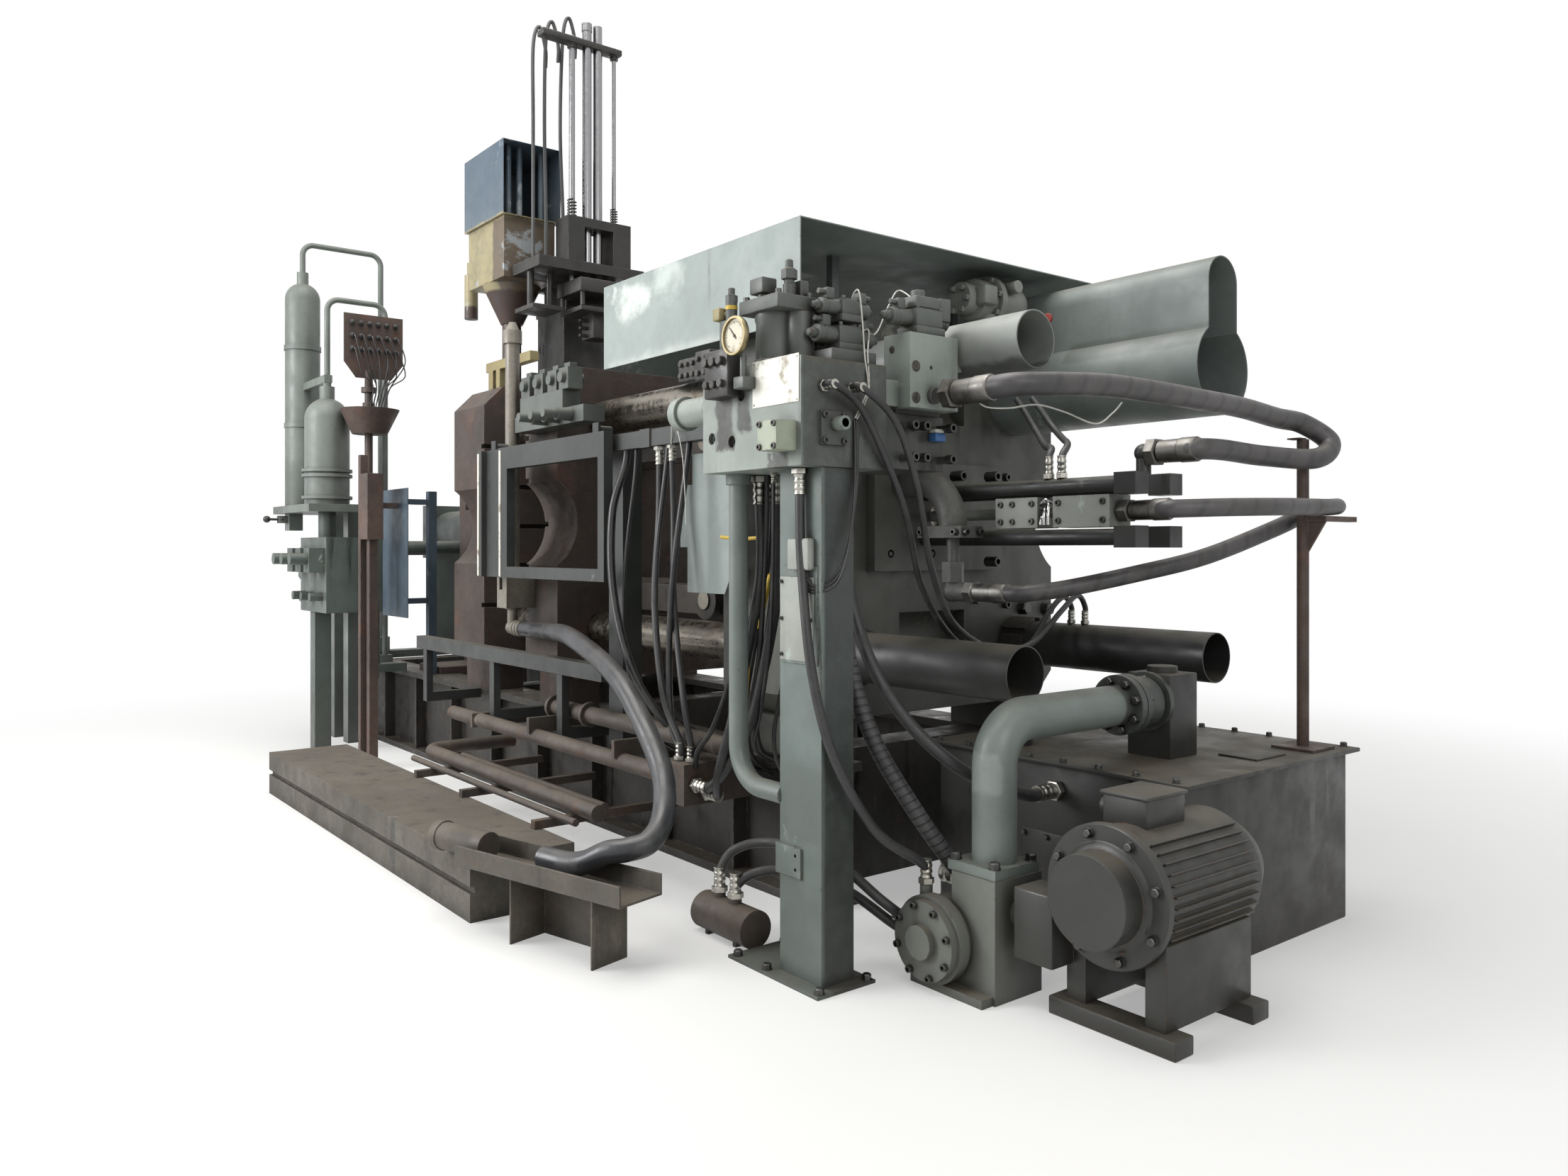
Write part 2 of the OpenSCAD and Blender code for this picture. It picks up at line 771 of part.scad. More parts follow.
// The bent riser from the rear platen down to the fitting of the lower big hose
module riser_pipe() {
    bend_z = riser_top - riser_r;
    color("#7d8482")
        union() {
            bar_x(riser_d, boss_x1, riser_x - riser_r, riser_y, riser_top);
            translate([riser_x - riser_r, riser_y, bend_z])
                rotate([90, 0, 0])
                    bend(riser_d, riser_r);
            box([riser_x - 150, riser_y - 70, bend_z - 50], [riser_x + 110, riser_y + 70, bend_z + 1]);
            bar_z(56, riser_low + 60, bend_z - 49, riser_x, riser_y);
            translate([riser_x, riser_y, riser_low + 40])
                cylinder(d = 100, h = 90, $fn = 6);
            bar_z(80, riser_low - 20, riser_low + 41, riser_x, riser_y);
            translate([riser_x, riser_y, riser_low])
                sphere(d = 92);
            bar_x(84, riser_x, riser_x + 110, riser_y, riser_low);
            bar_x(hose_d + 8, riser_x + 110, riser_end, riser_y, riser_low);
        }
}

pipe_x = 2430;
pipe_y = -1340;
pipe_d = 75;
pipe_r = 150;
pipe_z = 650;

module green_pipe() {
    color("#9fb2aa")
        union() {
            bar_z(pipe_d, pipe_z + pipe_r, column_h, pipe_x, pipe_y);
            translate([pipe_x + pipe_r, pipe_y, pipe_z + pipe_r])
                rotate([90, 0, 0])
                    rotate([0, 0, 180])
                        bend(pipe_d, pipe_r);
            bar_x(pipe_d, pipe_x + pipe_r, column_x0, pipe_y, pipe_z);
            bar_z(pipe_d + 24, column_h - 40, column_h, pipe_x, pipe_y);
        }
}

pump_x = 3170;
pump_z = 175;
pump_d = 280;
pump_y0 = -1080;
pump_y1 = -900;
pump_block = [[3220, -985, 0], [3420, -741, 420]];
hose_box_x1 = 1890;
tank_y0 = -300;
tank_top = 716;
hose_z1 = column_h - fit;
// Each hose under the near block: its diameter, its route and, where a leg runs along Y, another side direction
column_routes = [
    [35, [[2870, -1390, hose_z1], [2870, -1390, 1760], [2885, -1395, 1500], [2950, -1400, 1120],
        [3000, -1340, 820], [3060, -1200, 560], [3108, -1040, 440], [3110, -1000, 400], [3110, -1000, 350]]],
    [60, [[2790, -1150, hose_z1], [2790, -1150, 1740], [2805, -1150, 1500], [2850, -1145, 1150],
        [2930, -1090, 850], [3040, -990, 600], [3120, -880, 410], [3170, -860, 362], [3219.7, -860, 362]]],
    [50, [[2700, -1095, hose_z1], [2700, -1095, 1760], [2720, -1060, 1500], [2820, -1020, 1150],
        [2950, -930, 900], [3100, -780, 720], [3140, -500, 610], [3140, -400, 600], [3140, tank_y0 - fit, 600]], [1, 0, 0]],
    [42, [[2490, -1200, hose_z1], [2490, -1200, 1740], [2470, -1200, 1340], [2340, -1195, 910],
        [2150, -1190, 650], [1990, -1185, 530], [hose_box_x1 + fit, -1185, 530]]],
    [42, [[2440, -1245, hose_z1], [2440, -1245, 1740], [2440, -1245, 1430], [2290, -1245, 950],
        [2090, -1200, 600], [1980, -1130, 490], [hose_box_x1 + fit, -1130, 490]]],
    [32, [[1450, -1090, 2034.7], [1450, -1090, 1960], [1460, -1100, 1700], [1520, -1160, 1300],
        [1640, -1190, 900], [1780, -1190, 700], [1780, -1190, 620.3]]],
    [28, [[1560, -1090, 2034.7], [1560, -1090, 1960], [1570, -1090, 1700], [1640, -1130, 1300],
        [1790, -1180, 900], [1850, -1180, 700], [1850, -1180, 620.3]]],
    [38, [[2230, -1290, 165.3], [2230, -1290, 240], [2280, -1250, 340], [2450, -1180, 390], [2760, -1130, 370],
        [2920, -1040, 250], [2980, -980, 190], [3029.7, -980, 190]]],
    [38, [[2340, -1290, 165.3], [2340, -1290, 210], [2400, -1240, 270], [2520, -1150, 290], [2760, -1080, 260],
        [2930, -980, 150], [2985, -930, 120], [3034, -930, 120]]]
];

module column_hoses() {
    color("#2f3130")
        for (r = column_routes)
            hose(r[1], r[0], len(r) > 2 ? r[2] : [0, 1, 0], steps = 3, sides = 10);
}

loop_end = axis_z - tie_z / 2 + cover_d / 2 + fit;
valve_routes = [
    [[block_x1 + fit, -1370, 2120], [3030, -1370, 2120], [3012, -1230, 2055], [3000, -1110, 1900],
     [2960, -960, 1690], [2820, -730, 1400], [2720, -450, 1180], [2640, -120, 1060], [2580, 190, 1100],
     [2550, 380, 1250], [2526, 520, 1320], [2520, 590, 1270], [2520, 590, loop_end]],
    [[block_x1 + fit, -1240, 2120], [3030, -1240, 2120], [3012, -1080, 2010], [2975, -950, 1800],
     [2900, -780, 1480], [2820, -550, 1250], [2740, -210, 1120], [2670, 120, 1130], [2630, 370, 1260],
     [2606, 520, 1330], [2600, 590, 1275], [2600, 590, loop_end]]
];

// The two thin hoses that loop from the near block's side to the far lower cover
module valve_hoses() {
    color("#2b2c2c")
        for (r = valve_routes)
            hose(r, 26, steps = 4, sides = 8);
}

stand_x = 3600;
stand_y = 731;
stand_top = 2070 - hose_d / 2 - 8;
arm_top = 1725 - hose_d / 2 - 5;
rear_routes = [
    [[outlet_end + fit, outlet_y, outlet_z], [2750, outlet_y, outlet_z], [2810, -230, 2255], [2866, -150, 2283], [3070, 60, 2273],
     [3250, 300, 2226], [3440, 520, 2153], [stand_x, stand_y, 2070 + fit], [3668, 800, 1996], [3668, 690, 1925],
     [3575, 480, 1930], [3530, 240, return_z], [3500, ram_y, return_z], [return_end + fit, ram_y, return_z]],
    [[ram_end + fit, ram_mid_y, axis_z], [3520, ram_mid_y, 1706], [3640, 120, 1712], [3690, 450, 1720],
     [3680, 760, 1725], [3640, 940, 1733], [3560, 900, 1720], [3509, 680, 1640], [3364, 380, 1520],
     [3201, 120, 1447], [3030, -110, 1388], [2930, -240, 1368], [2840, riser_y, riser_low],
     [riser_end + fit, riser_y, riser_low]]
];

module rear_hoses() {
    color("#57585a")
        for (r = rear_routes)
            hose(r, hose_d, [0, 0, 1]);
}

post_d = 48;

// The post that carries the loops of the two big hoses, standing on the tank's lid
module hose_stand() {
    color("#5a5350")
        union() {
            box([stand_x - 90, stand_y - 90, tank_top], [stand_x + 90, stand_y + 90, tank_top + 12]);
            bar_z(post_d, tank_top + 5, stand_top - 20, stand_x, stand_y);
            box([stand_x - 45, stand_y - 45, stand_top - 20], [stand_x + 10, stand_y + 10, stand_top - 14]);
            box([stand_x, stand_y - 12, arm_top - 22], [stand_x + 104, stand_y + 12, arm_top]);
            box([stand_x + 66, stand_y - 12, arm_top - 22], [stand_x + 104, 985, arm_top]);
            along_y(stand_y - 6, stand_y + 6)
                polygon([[stand_x, arm_top - 190], [stand_x + 100, arm_top - 20], [stand_x, arm_top - 20]]);
        }
}

drain_x = -357;
drain_y = -1000;
drain_z0 = 1083;
drain_top = 2910;
drain_pipe_d = 85;
drain_end = -190;

// The pale pipe beside the moving platen, with its cap, the box at its foot and the elbow to the drain hose
module drain_pipe() {
    color("#b0b3ac")
        union() {
            bar_z(drain_pipe_d, drain_z0 + 110, drain_top - 60, drain_x, drain_y);
            bar_z(drain_pipe_d + 26, drain_top - 130, drain_top - 50, drain_x, drain_y);
            translate([drain_x, drain_y, drain_top - 50])
                cylinder(d1 = drain_pipe_d, d2 = 40, h = 50);
            difference() {
                box([drain_x - 75, drain_y - 65, 1200], [drain_x + 60, -platen_w / 2, 1400]);
                box([drain_x - 40, drain_y - 66, 1310], [drain_x, drain_y - 45, 1380]);
            }
            bar_z(60, drain_z0, 1201, drain_x, drain_y);
            translate([drain_x, drain_y, drain_z0])
                sphere(d = 84);
            bar_x(76, drain_x, drain_x + 60, drain_y, drain_z0);
            for (x = [60, 96, 132])
                bar_x(drain_d + 6, drain_x + x, drain_x + x + 28, drain_y, drain_z0);
            bar_x(drain_d - 6, drain_x + 50, drain_end, drain_y, drain_z0);
        }
}

trough_a = 14.6;
trough_o = [1500, -2010, 262];
trough_l = 950;
trough_w = 220;
trough_h = 80;
trough_t = 8;
drain_route = [
    [drain_end + fit, drain_y, drain_z0], [-110, drain_y, drain_z0], [0, -1008, 1085], [400, -1120, 1105], [900, -1260, 1110],
    [1470, -1350, 990], [1800, -1400, 820], [2050, -1450, 640], [2200, -1540, 500], [2262, -1640, 430],
    [2230, -1720, 405], [2170, -1770, 390], [2080, -1814, 342], [1990, -1840, 322], [1850, -1880, 322]
];

module drain_hose() {
    color("#3d3e40")
        hose(drain_route, drain_d);
}

// The sloping trough that takes the drain hose, its strainer and its sheet legs
module drain_trough() {
    color("#7d7468")
        translate(trough_o)
            rotate([0, 0, trough_a])
                union() {
                    difference() {
                        translate([0, -trough_w / 2, 0])
                            cube([trough_l, trough_w, trough_h]);
                        translate([-1, -trough_w / 2 + trough_t, trough_t])
                            cube([trough_l + 2, trough_w - 2 * trough_t, trough_h]);
                    }
                    for (x = [320, 780])
                        translate([x, -trough_w / 2 + 20, -trough_o[2]])
                            cube([8, trough_w - 40, trough_o[2] + 1]);
                    translate([320, trough_w / 2 - 28, -trough_o[2]])
                        cube([468, 8, trough_o[2] + 1]);
                    translate([-220, 0, 66])
                        rotate([0, 90, 0])
                            cylinder(d = 116, h = 300);
                    translate([-250, 0, 66])
                        rotate([0, 90, 0])
                            cylinder(d = 126, h = 40);
                }
}

bearer_z = 260;
bearer_h = 40;
hose_box_x0 = hose_box_x1 - 190;
flange_ring = 1.5;

// Water and oil pipes along the near side, their arms and bearers, the hose box and the floor filter
module lower_pipes() {
    z1 = bearer_z + bearer_h;
    color("#6b5a4c")
        union() {
            bar_x(80, -670, hose_box_x0 + 10, -1240, 560);
            bar_x(85, 370, 2040, -1100, 700);
            for (x = [400, 780])
                bar_x(85 * flange_ring, x, x + 24, -1100, 700);
            bar_x(80, -625, 1395, -1380, z1 + 40);
            translate([-625, -1380 + 110, z1 + 40])
                rotate([0, 0, 180])
                    bend(80, 110);
            bar_y(80, -1380 + 110, -beam_out, -735, z1 + 40);
            bar_x(50, -450, 1250, -1270, z1 + 25);
            bar_x(34, -630, 1400, -1500, z1 + 17);
            for (x = [450, 1350])
                box([x, -1290, 580], [x + 25, -beam_out, 662]);
            box([-300, -1290, 520], [-270, -beam_out, 600]);
            for (x = [-350, 300, 1150])
                box([x, -1600, bearer_z], [x + 40, -beam_out, z1]);
            box([hose_box_x0, -1240, 440], [hose_box_x1, -beam_out, 620]);
            bar_x(2 * 75, 2130, 2474, -1290, 75);
            for (x = [2200, 2390])
                box([x, -1340, 0], [x + 20, -1240, 40]);
            for (x = [2230, 2340])
                bar_z(50, 75, 165, x, -1290);
        }
}

module oil_tank() {
    color("#555f5b")
        union() {
            box([2500, tank_y0, 0], [3700, 900, 700]);
            box([2460, tank_y0 - 40, 699], [3740, 940, tank_top]);
            box([3160, 60, 715], [3460, 420, 1080]);
            bar_z(240, 1079, 1110, 3310, 240);
        }
}

suction_x = 3310;
suction_y = -863;
suction_d = 158;
suction_z = 940;
suction_r = 160;
flange_z = 420;

// The suction pipe: square flange on the pump, bend, flange pair and coupling to the tank's valve box
module suction_pipe() {
    color("#93a09a")
        union() {
            box([suction_x - 115, suction_y - 115, flange_z], [suction_x + 105, suction_y + 115, flange_z + 36]);
            bar_z(suction_d, flange_z + 35, suction_z - suction_r, suction_x, suction_y);
            translate([suction_x, suction_y + suction_r, suction_z - suction_r])
                rotate([90, 0, -90])
                    bend(suction_d, suction_r);
            bar_y(suction_d, suction_y + suction_r, 60, suction_x, suction_z);
            for (y = [-150, -112])
                bar_y(suction_d * flange_ring, y, y + 32, suction_x, suction_z);
            bar_y(suction_d * 1.3, -60, 20, suction_x, suction_z);
            bar_y(suction_d * flange_ring, 34, 60, suction_x, suction_z);
        }
}

// The pump: round bolted body, the block under the suction flange and its base
module pump() {
    color("#8d9490")
        union() {
            bar_y(pump_d, pump_y0, pump_y1, pump_x, pump_z);
            bar_y(pump_d + 30, pump_y0 + 30, pump_y0 + 75, pump_x, pump_z);
            bar_y(120, pump_y0 - 26, pump_y0, pump_x, pump_z);
            box(pump_block[0], pump_block[1]);
            box([pump_x - 100, pump_y0 + 40, 0], [pump_x + 240, pump_y1 + 100, 30]);
            bar_z(46, pump_z + 100, 349.7, 3110, -1000);
            bar_x(90, pump_block[1][0] - 1, 3478, -863, 300);
        }
}

motor_x = 3800;
motor_z = 450;

// The big motor behind the pump, its flange to the operator's side, on a base frame
module motor() {
    color("#3f4443")
        union() {
            bar_y(330, -1000, -890, motor_x, motor_z);
            bar_y(460, -900, -866, motor_x, motor_z);
            bar_y(420, -867, -330, motor_x, motor_z);
            bar_y(360, -331, tank_y0, motor_x, motor_z);
            box([motor_x - 100, -760, motor_z + 150], [motor_x + 60, -560, motor_z + 275]);
            box([motor_x - 190, -850, 60], [motor_x + 190, -350, 300]);
            box([motor_x - 240, -900, 0], [motor_x + 240, -300, 61]);
            box([3478, -960, 180], [3640, -820, 420]);
        }
}

frame_y = 330;
frame_w = 140;
frame_l = 980;
shot_plate_t = 120;
shot_x1 = fixed_x0 - frame_l - shot_plate_t;
shot_x0 = shot_x1 - shot_l;
shot_bore = 160;

// The C-frame between the fixed platen and the shot cylinder
module shot_frame() {
    color("#6a5f55")
        difference() {
            union() {
                for (s = [-1, 1])
                    box(
                        [fixed_x0 - frame_l - 1, s * frame_y - frame_w / 2, axis_z - 150],
                        [fixed_x0, s * frame_y + frame_w / 2, axis_z + 150]
                    );
                box([shot_x1, -frame_y - 70, axis_z - 400], [shot_x1 + shot_plate_t, frame_y + 70, axis_z + 400]);
                for (s = [-1, 1])
                    along_y(s * frame_y - 30, s * frame_y + 30)
                        polygon([
                            [shot_x1, bed_h + 50], [shot_x1 + 420, bed_h + 50],
                            [shot_x1 + shot_plate_t, axis_z - 390], [shot_x1, axis_z - 390]
                        ]);
                box([shot_x1, -beam_out + 100, bed_h], [shot_x1 + 420, beam_out - 100, bed_h + 51]);
            }
            bar_x(shot_bore, shot_x1 - 10, shot_x1 + shot_plate_t + 10, 0, axis_z);
        }
}

head_h = 230;
shot_head_t = 90;
plunger_x = fixed_x0 + 100;

module shot_cylinder() {
    color("#8d9994")
        union() {
            bar_x(shot_d, shot_x0, shot_x1, 0, axis_z);
            for (x = [shot_x1 - shot_head_t, shot_x0])
                box([x, -head_h, axis_z - head_h], [x + shot_head_t, head_h, axis_z + head_h]);
            box([shot_x0, -150, bed_h + 60], [shot_x0 + shot_head_t, 150, axis_z - head_h + 1]);
            box([shot_x0 - 10, -beam_out + 40, bed_h], [shot_x0 + shot_head_t + 60, beam_out - 40, bed_h + 61]);
            bar_x(120, shot_x1, fixed_x0 - 300, 0, axis_z);
            bar_x(150, fixed_x0 - 420, fixed_x0 - 300, 0, axis_z);
            bar_x(90, fixed_x0 - 301, plunger_x, 0, axis_z);
        }
}

tall_x = -3858;
short_x = -3180;
bottle_y = -1255;
bottle_z = 1900;
stand_t = 60;
// Height of the link between the bottles over their stand
link_z1 = 1010;

// A bottle: barrel, domed shoulder and neck in one turned outline
module bottle(d, h, neck) {
    r = d / 2;
    rotate_extrude()
        union() {
            square([r, h - r]);
            translate([0, h - r])
                intersection() {
                    circle(r = r);
                    square([r, r]);
                }
            square([neck / 2, h + 90]);
        }
}

lever_x = -3769;
lever_y = -1445;
lever_z = 1793;
ear_t = 12;
ear_gap = 34;
lever_pin = 16;

// Two gas bottles on their stand, with their rings, legs and the valve that the hand lever turns
module accumulators() {
    post_y = bottle_y + 190;
    color("#a4b3ab")
        difference() {
            union() {
                translate([tall_x, bottle_y, bottle_z])
                    bottle(tall_d, tall_h, 90);
                translate([short_x, bottle_y, bottle_z])
                    bottle(short_d, short_h, 110);
                for (z = [40, 210, 250])
                    bar_z(short_d + 40, bottle_z + z, bottle_z + z + 24, short_x, bottle_y);
                for (z = [tall_h - 560, tall_h - 1200])
                    bar_z(tall_d + 16, bottle_z + z, bottle_z + z + 40, tall_x, bottle_y);
                box(
                    [tall_x - 160, bottle_y - 190, bottle_z - stand_t],
                    [short_x + 190, bottle_y + 190, bottle_z]
                );
                for (x = [tall_x + 160, valve_x0 - 80]) {
                    box([x - 60, post_y, 0], [x + 60, post_y + 120, bottle_z]);
                    box([x - 60, post_y + 119, bed_h - 120], [x + 60, -beam_out, bed_h - 1]);
                }
                box([lever_x - 65, lever_y + 45, lever_z - 90], [lever_x + 65, lever_y + 150, bottle_z - stand_t + 1]);
                for (s = [-1, 1])
                    translate([lever_x + s * (ear_gap / 2 + ear_t / 2), lever_y + 15, lever_z])
                        cube([ear_t, 80, 60], center = true);
                box(
                    [tall_x + tall_d / 2 - 20, bottle_y - 30, bottle_z + link_z1 - 60],
                    [short_x + 30, bottle_y + 30, bottle_z + link_z1]
                );
                bar_z(60, bottle_z + short_h + 60, bottle_z + link_z1 - 59, short_x, bottle_y);
            }
            bar_x(lever_pin + 2 * fit, lever_x - 100, lever_x + 100, lever_y, lever_z);
        }
}

hoop_r = 90;

// A pipe that rises from a bottle's neck and comes down again towards the bed
module hoop(x, z0, z1, span, d, drop) {
    bar_z(d, z0, z1 - hoop_r, x, bottle_y);
    translate([x, bottle_y + hoop_r, z1 - hoop_r])
        rotate([90, 0, -90])
            bend(d, hoop_r);
    bar_y(d, bottle_y + hoop_r, bottle_y + span - hoop_r, x, z1);
    translate([x, bottle_y + span - hoop_r, z1 - hoop_r])
        rotate([90, 0, 90])
            bend(d, hoop_r);
    bar_z(d, drop, z1 - hoop_r, x, bottle_y + span);
}

neck_up = 90;
tall_hoop = 330;
short_hoop = 780;

module accumulator_pipes() {
    color("#9aa8a1")
        union() {
            hoop(tall_x, bottle_z + tall_h + neck_up, bottle_z + tall_h + tall_hoop, 642, 44, bed_h + 180);
            box([tall_x - 40, bottle_y + 600, bed_h + 61], [tall_x + 110, bottle_y + 684, bed_h + 181]);
            hoop(short_x, bottle_z + link_z1, bottle_z + short_h + short_hoop, 450, 44, bed_h + 80);
            box([short_x - 40, bottle_y + 400, bed_h], [short_x + 40, bottle_y + 500, bed_h + 81]);
        }
}

valve_x0 = -3260;
valve_x1 = -2600;
valve_y0 = -1430;
valve_z0 = 1080;
valve_z1 = 1640;
feed_x = -2700;
feed_z = 1560;

// The injection manifold under the bottles, with its valves, feed pipes and support post
module injection_valves() {
    color("#7f908a")
        union() {
            box([valve_x0, valve_y0, valve_z0], [valve_x1, -980, valve_z1]);
            bar_z(130, valve_z1, bottle_z - stand_t, short_x, bottle_y);
            bar_y(110, -981, -head_h, feed_x, feed_z);
            bar_y(150, -1010, -950, feed_x, feed_z);
            box([-3110, -1400, 0], [-2990, -1280, valve_z0 + 1]);
            for (z = [1170, 1350, 1530]) {
                bar_x(100, valve_x0 - 260, valve_x0 + 1, -1330, z);
                bar_x(130, valve_x0 - 150, valve_x0 - 60, -1330, z);
            }
            for (x = [-3150, -2930, -2710]) {
                box([x - 70, valve_y0 - 110, 1380], [x + 70, valve_y0 + 1, 1560]);
                bar_y(84, valve_y0 - 230, valve_y0 - 109, x, 1480);
                bar_y(64, valve_y0 - 90, valve_y0 + 1, x, 1200);
            }
            bar_z(90, bed_h + 60, valve_z0 + 1, -2700, -1050);
            box([-2760, -1110, bed_h], [-2640, -beam_out, bed_h + 61]);
        }
}

// The hand lever with its pin, hub and ball
module valve_lever() {
    color("#2d2e2e")
        union() {
            bar_x(lever_pin, lever_x - ear_gap / 2 - ear_t - 8, lever_x + ear_gap / 2 + ear_t + 8, lever_y, lever_z);
            bar_x(34, lever_x - ear_gap / 2 + 1, lever_x + ear_gap / 2 - 1, lever_y, lever_z);
            bar_y(20, lever_y - 100, lever_y - 10, lever_x, lever_z);
            translate([lever_x, lever_y - 110, lever_z])
                sphere(d = 56);
        }
}

wire_x = -2880;
wire_y = -1032;
wire_y0 = -1220;
wire_y1 = -769;
wire_z0 = 2870;
wire_z1 = 3360;

// The sheet with rows of wire holes on its swivel post, over a flared tray
module wire_plate_post() {
    color("#6d5850")
        union() {
            bar_z(60, valve_z1, wire_z0 + 60, wire_x, wire_y);
            bar_z(90, 2600, 2680, wire_x, wire_y);
            bar_z(110, 2760, 2800, wire_x, wire_y);
            difference() {
                translate([0, 0, wire_z0])
                    along_x(wire_x - 4, wire_x + 4)
                        polygon([
                            [wire_y0 + 90, 0], [wire_y1 - 90, 0], [wire_y1, 120],
                            [wire_y1, wire_z1 - wire_z0], [wire_y0, wire_z1 - wire_z0], [wire_y0, 120]
                        ]);
                for (i = [0 : 5])
                    bar_x(26, wire_x - 5, wire_x + 5, wire_y0 + 60 + 66 * i, wire_z1 - 70);
            }
            difference() {
                translate([wire_x, (wire_y0 + wire_y1) / 2 - 30, 2440])
                    cylinder(d1 = 260, d2 = 440, h = 190);
                translate([wire_x, (wire_y0 + wire_y1) / 2 - 30, 2452])
                    cylinder(d1 = 240, d2 = 424, h = 190);
            }
        }
}

jb_x0 = -2150;
jb_x1 = -1960;
panel_y = -1100;
panel_t = 6;

// Two cable boxes and the posts beside them
module junction_boxes() {
    color("#6f5a52")
        union() {
            box([jb_x0, -1340, 1620], [jb_x1, -1230, 2080]);
            box([jb_x0 - 70, -1320, 0], [jb_x0 - 20, -1270, 2220]);
            box([jb_x0 - 21, -1300, 1700], [jb_x0 + 1, -1280, 1740]);
            box([jb_x0 + 50, -1300, 0], [jb_x0 + 110, -1240, 1621]);
            box([jb_x0 + 60, -1231, 1840], [jb_x0 + 100, panel_y, 1880]);
        }
}

panel_x0 = -2358;
panel_x1 = -1847;

module side_panel() {
    color("#a9b9bf")
        union() {
            box([panel_x0, panel_y, 1070], [panel_x1, panel_y + panel_t, 1980]);
            box([panel_x0 + 60, -beam_out + 20, bed_h], [panel_x0 + 120, -beam_out + 80, 1980]);
            for (z = [1150, 1880])
                box([panel_x0 + 70, panel_y + panel_t - 1, z], [panel_x0 + 110, -beam_out + 21, z + 40]);
        }
}

// The core puller's valve bank on the moving platen's near side
module core_valves() {
    side = -platen_w / 2;
    color("#5d6362")
        union() {
            box([moving_x0 + 130, side - 130, 2240], [moving_x1 + 560, side, 2330]);
            box([moving_x0 + 180, side - 120, 2329], [moving_x1 + 300, side - 10, 2440]);
            for (x = [0, 170, 340, 480])
                translate([moving_x0 + 240 + x, side - 70, 2439])
                    valve_unit([110, 90, 120], 60, 24);
            for (x = [120, 270, 420])
                bar_y(70, side - 220, side - 129, moving_x1 + x, 2285);
            for (x = [120, 270, 420])
                bar_y(50, side - 300, side - 219, moving_x1 + x, 2285);
        }
}

bracket_y0 = -750;
bracket_y1 = -690;

// The pale yellow bracket on the near top corner of the fixed platen
module yellow_bracket() {
    color("#cfc489")
        union() {
            box([fixed_x0 + 220, bracket_y0, 2750], [fixed_x1 + 400, bracket_y1, 2810]);
            box([fixed_x0 + 260, bracket_y0, platen_z1], [fixed_x0 + 330, bracket_y1, 2751]);
            box([fixed_x1 - 120, bracket_y0, platen_z1], [fixed_x1 - 60, bracket_y1, 2751]);
            along_y(bracket_y0 + 20, bracket_y1 - 20)
                polygon([[fixed_x0 + 320, 2640], [fixed_x0 + 430, 2751], [fixed_x0 + 320, 2751]]);
        }
}

lift_x = fixed_x1 + 190;
lift_z0 = 3450;
lift_z1 = 3760;
tube_ys = [-236, -155];
rod_ys = [-348, -29];
top_plate_z = lift_z0 - 70;
leg_l = 90;
bar_z0 = 4930;
bar_t = 40;

module lift_bores() {
    for (y = tube_ys)
        bar_z(lift_d + 2 * fit, top_plate_z - 1, lift_z1 + 1, lift_x, y);
    for (y = rod_ys)
        bar_z(guide_rod_d + 2 * fit, top_plate_z - 1, lift_z1 + 1, lift_x, y);
}

// The stack on the fixed platen that overhangs the die, with the guide yoke of the lift on top
module lift_base() {
    color("#6f7472")
        difference() {
            union() {
                box([fixed_x0 + 60, -290, platen_z1], [fixed_x1 - 40, 120, top_plate_z - 180]);
                box([fixed_x0 + 30, -290, top_plate_z - 181], [fixed_x1 - 10, 160, top_plate_z - 150]);
                box([fixed_x0 + 100, -260, top_plate_z - 151], [fixed_x1 - 60, 100, top_plate_z]);
                box([fixed_x0 + 60, -290, top_plate_z], [lift_x + 150, 120, lift_z0]);
                box([fixed_x1 - 60, -660, top_plate_z], [lift_x + 150, -289, lift_z0]);
                for (y = [-620, -480])
                    bar_z(46, top_plate_z - 230, top_plate_z + 1, lift_x - 60, y);
                box([fixed_x1 - 20, -660, top_plate_z - 256], [lift_x + 60, -440, top_plate_z - 229]);
                for (s = [[-421, -300], [-84, 51]])
                    box([lift_x - leg_l, s[0], lift_z0 - 1], [lift_x + leg_l, s[1], lift_z1]);
                box([lift_x - leg_l, -421, lift_z1 - 62], [lift_x + leg_l, 51, lift_z1]);
            }
            lift_bores();
        }
}

head_x0 = lift_x - 120;
head_x1 = lift_x + 220;

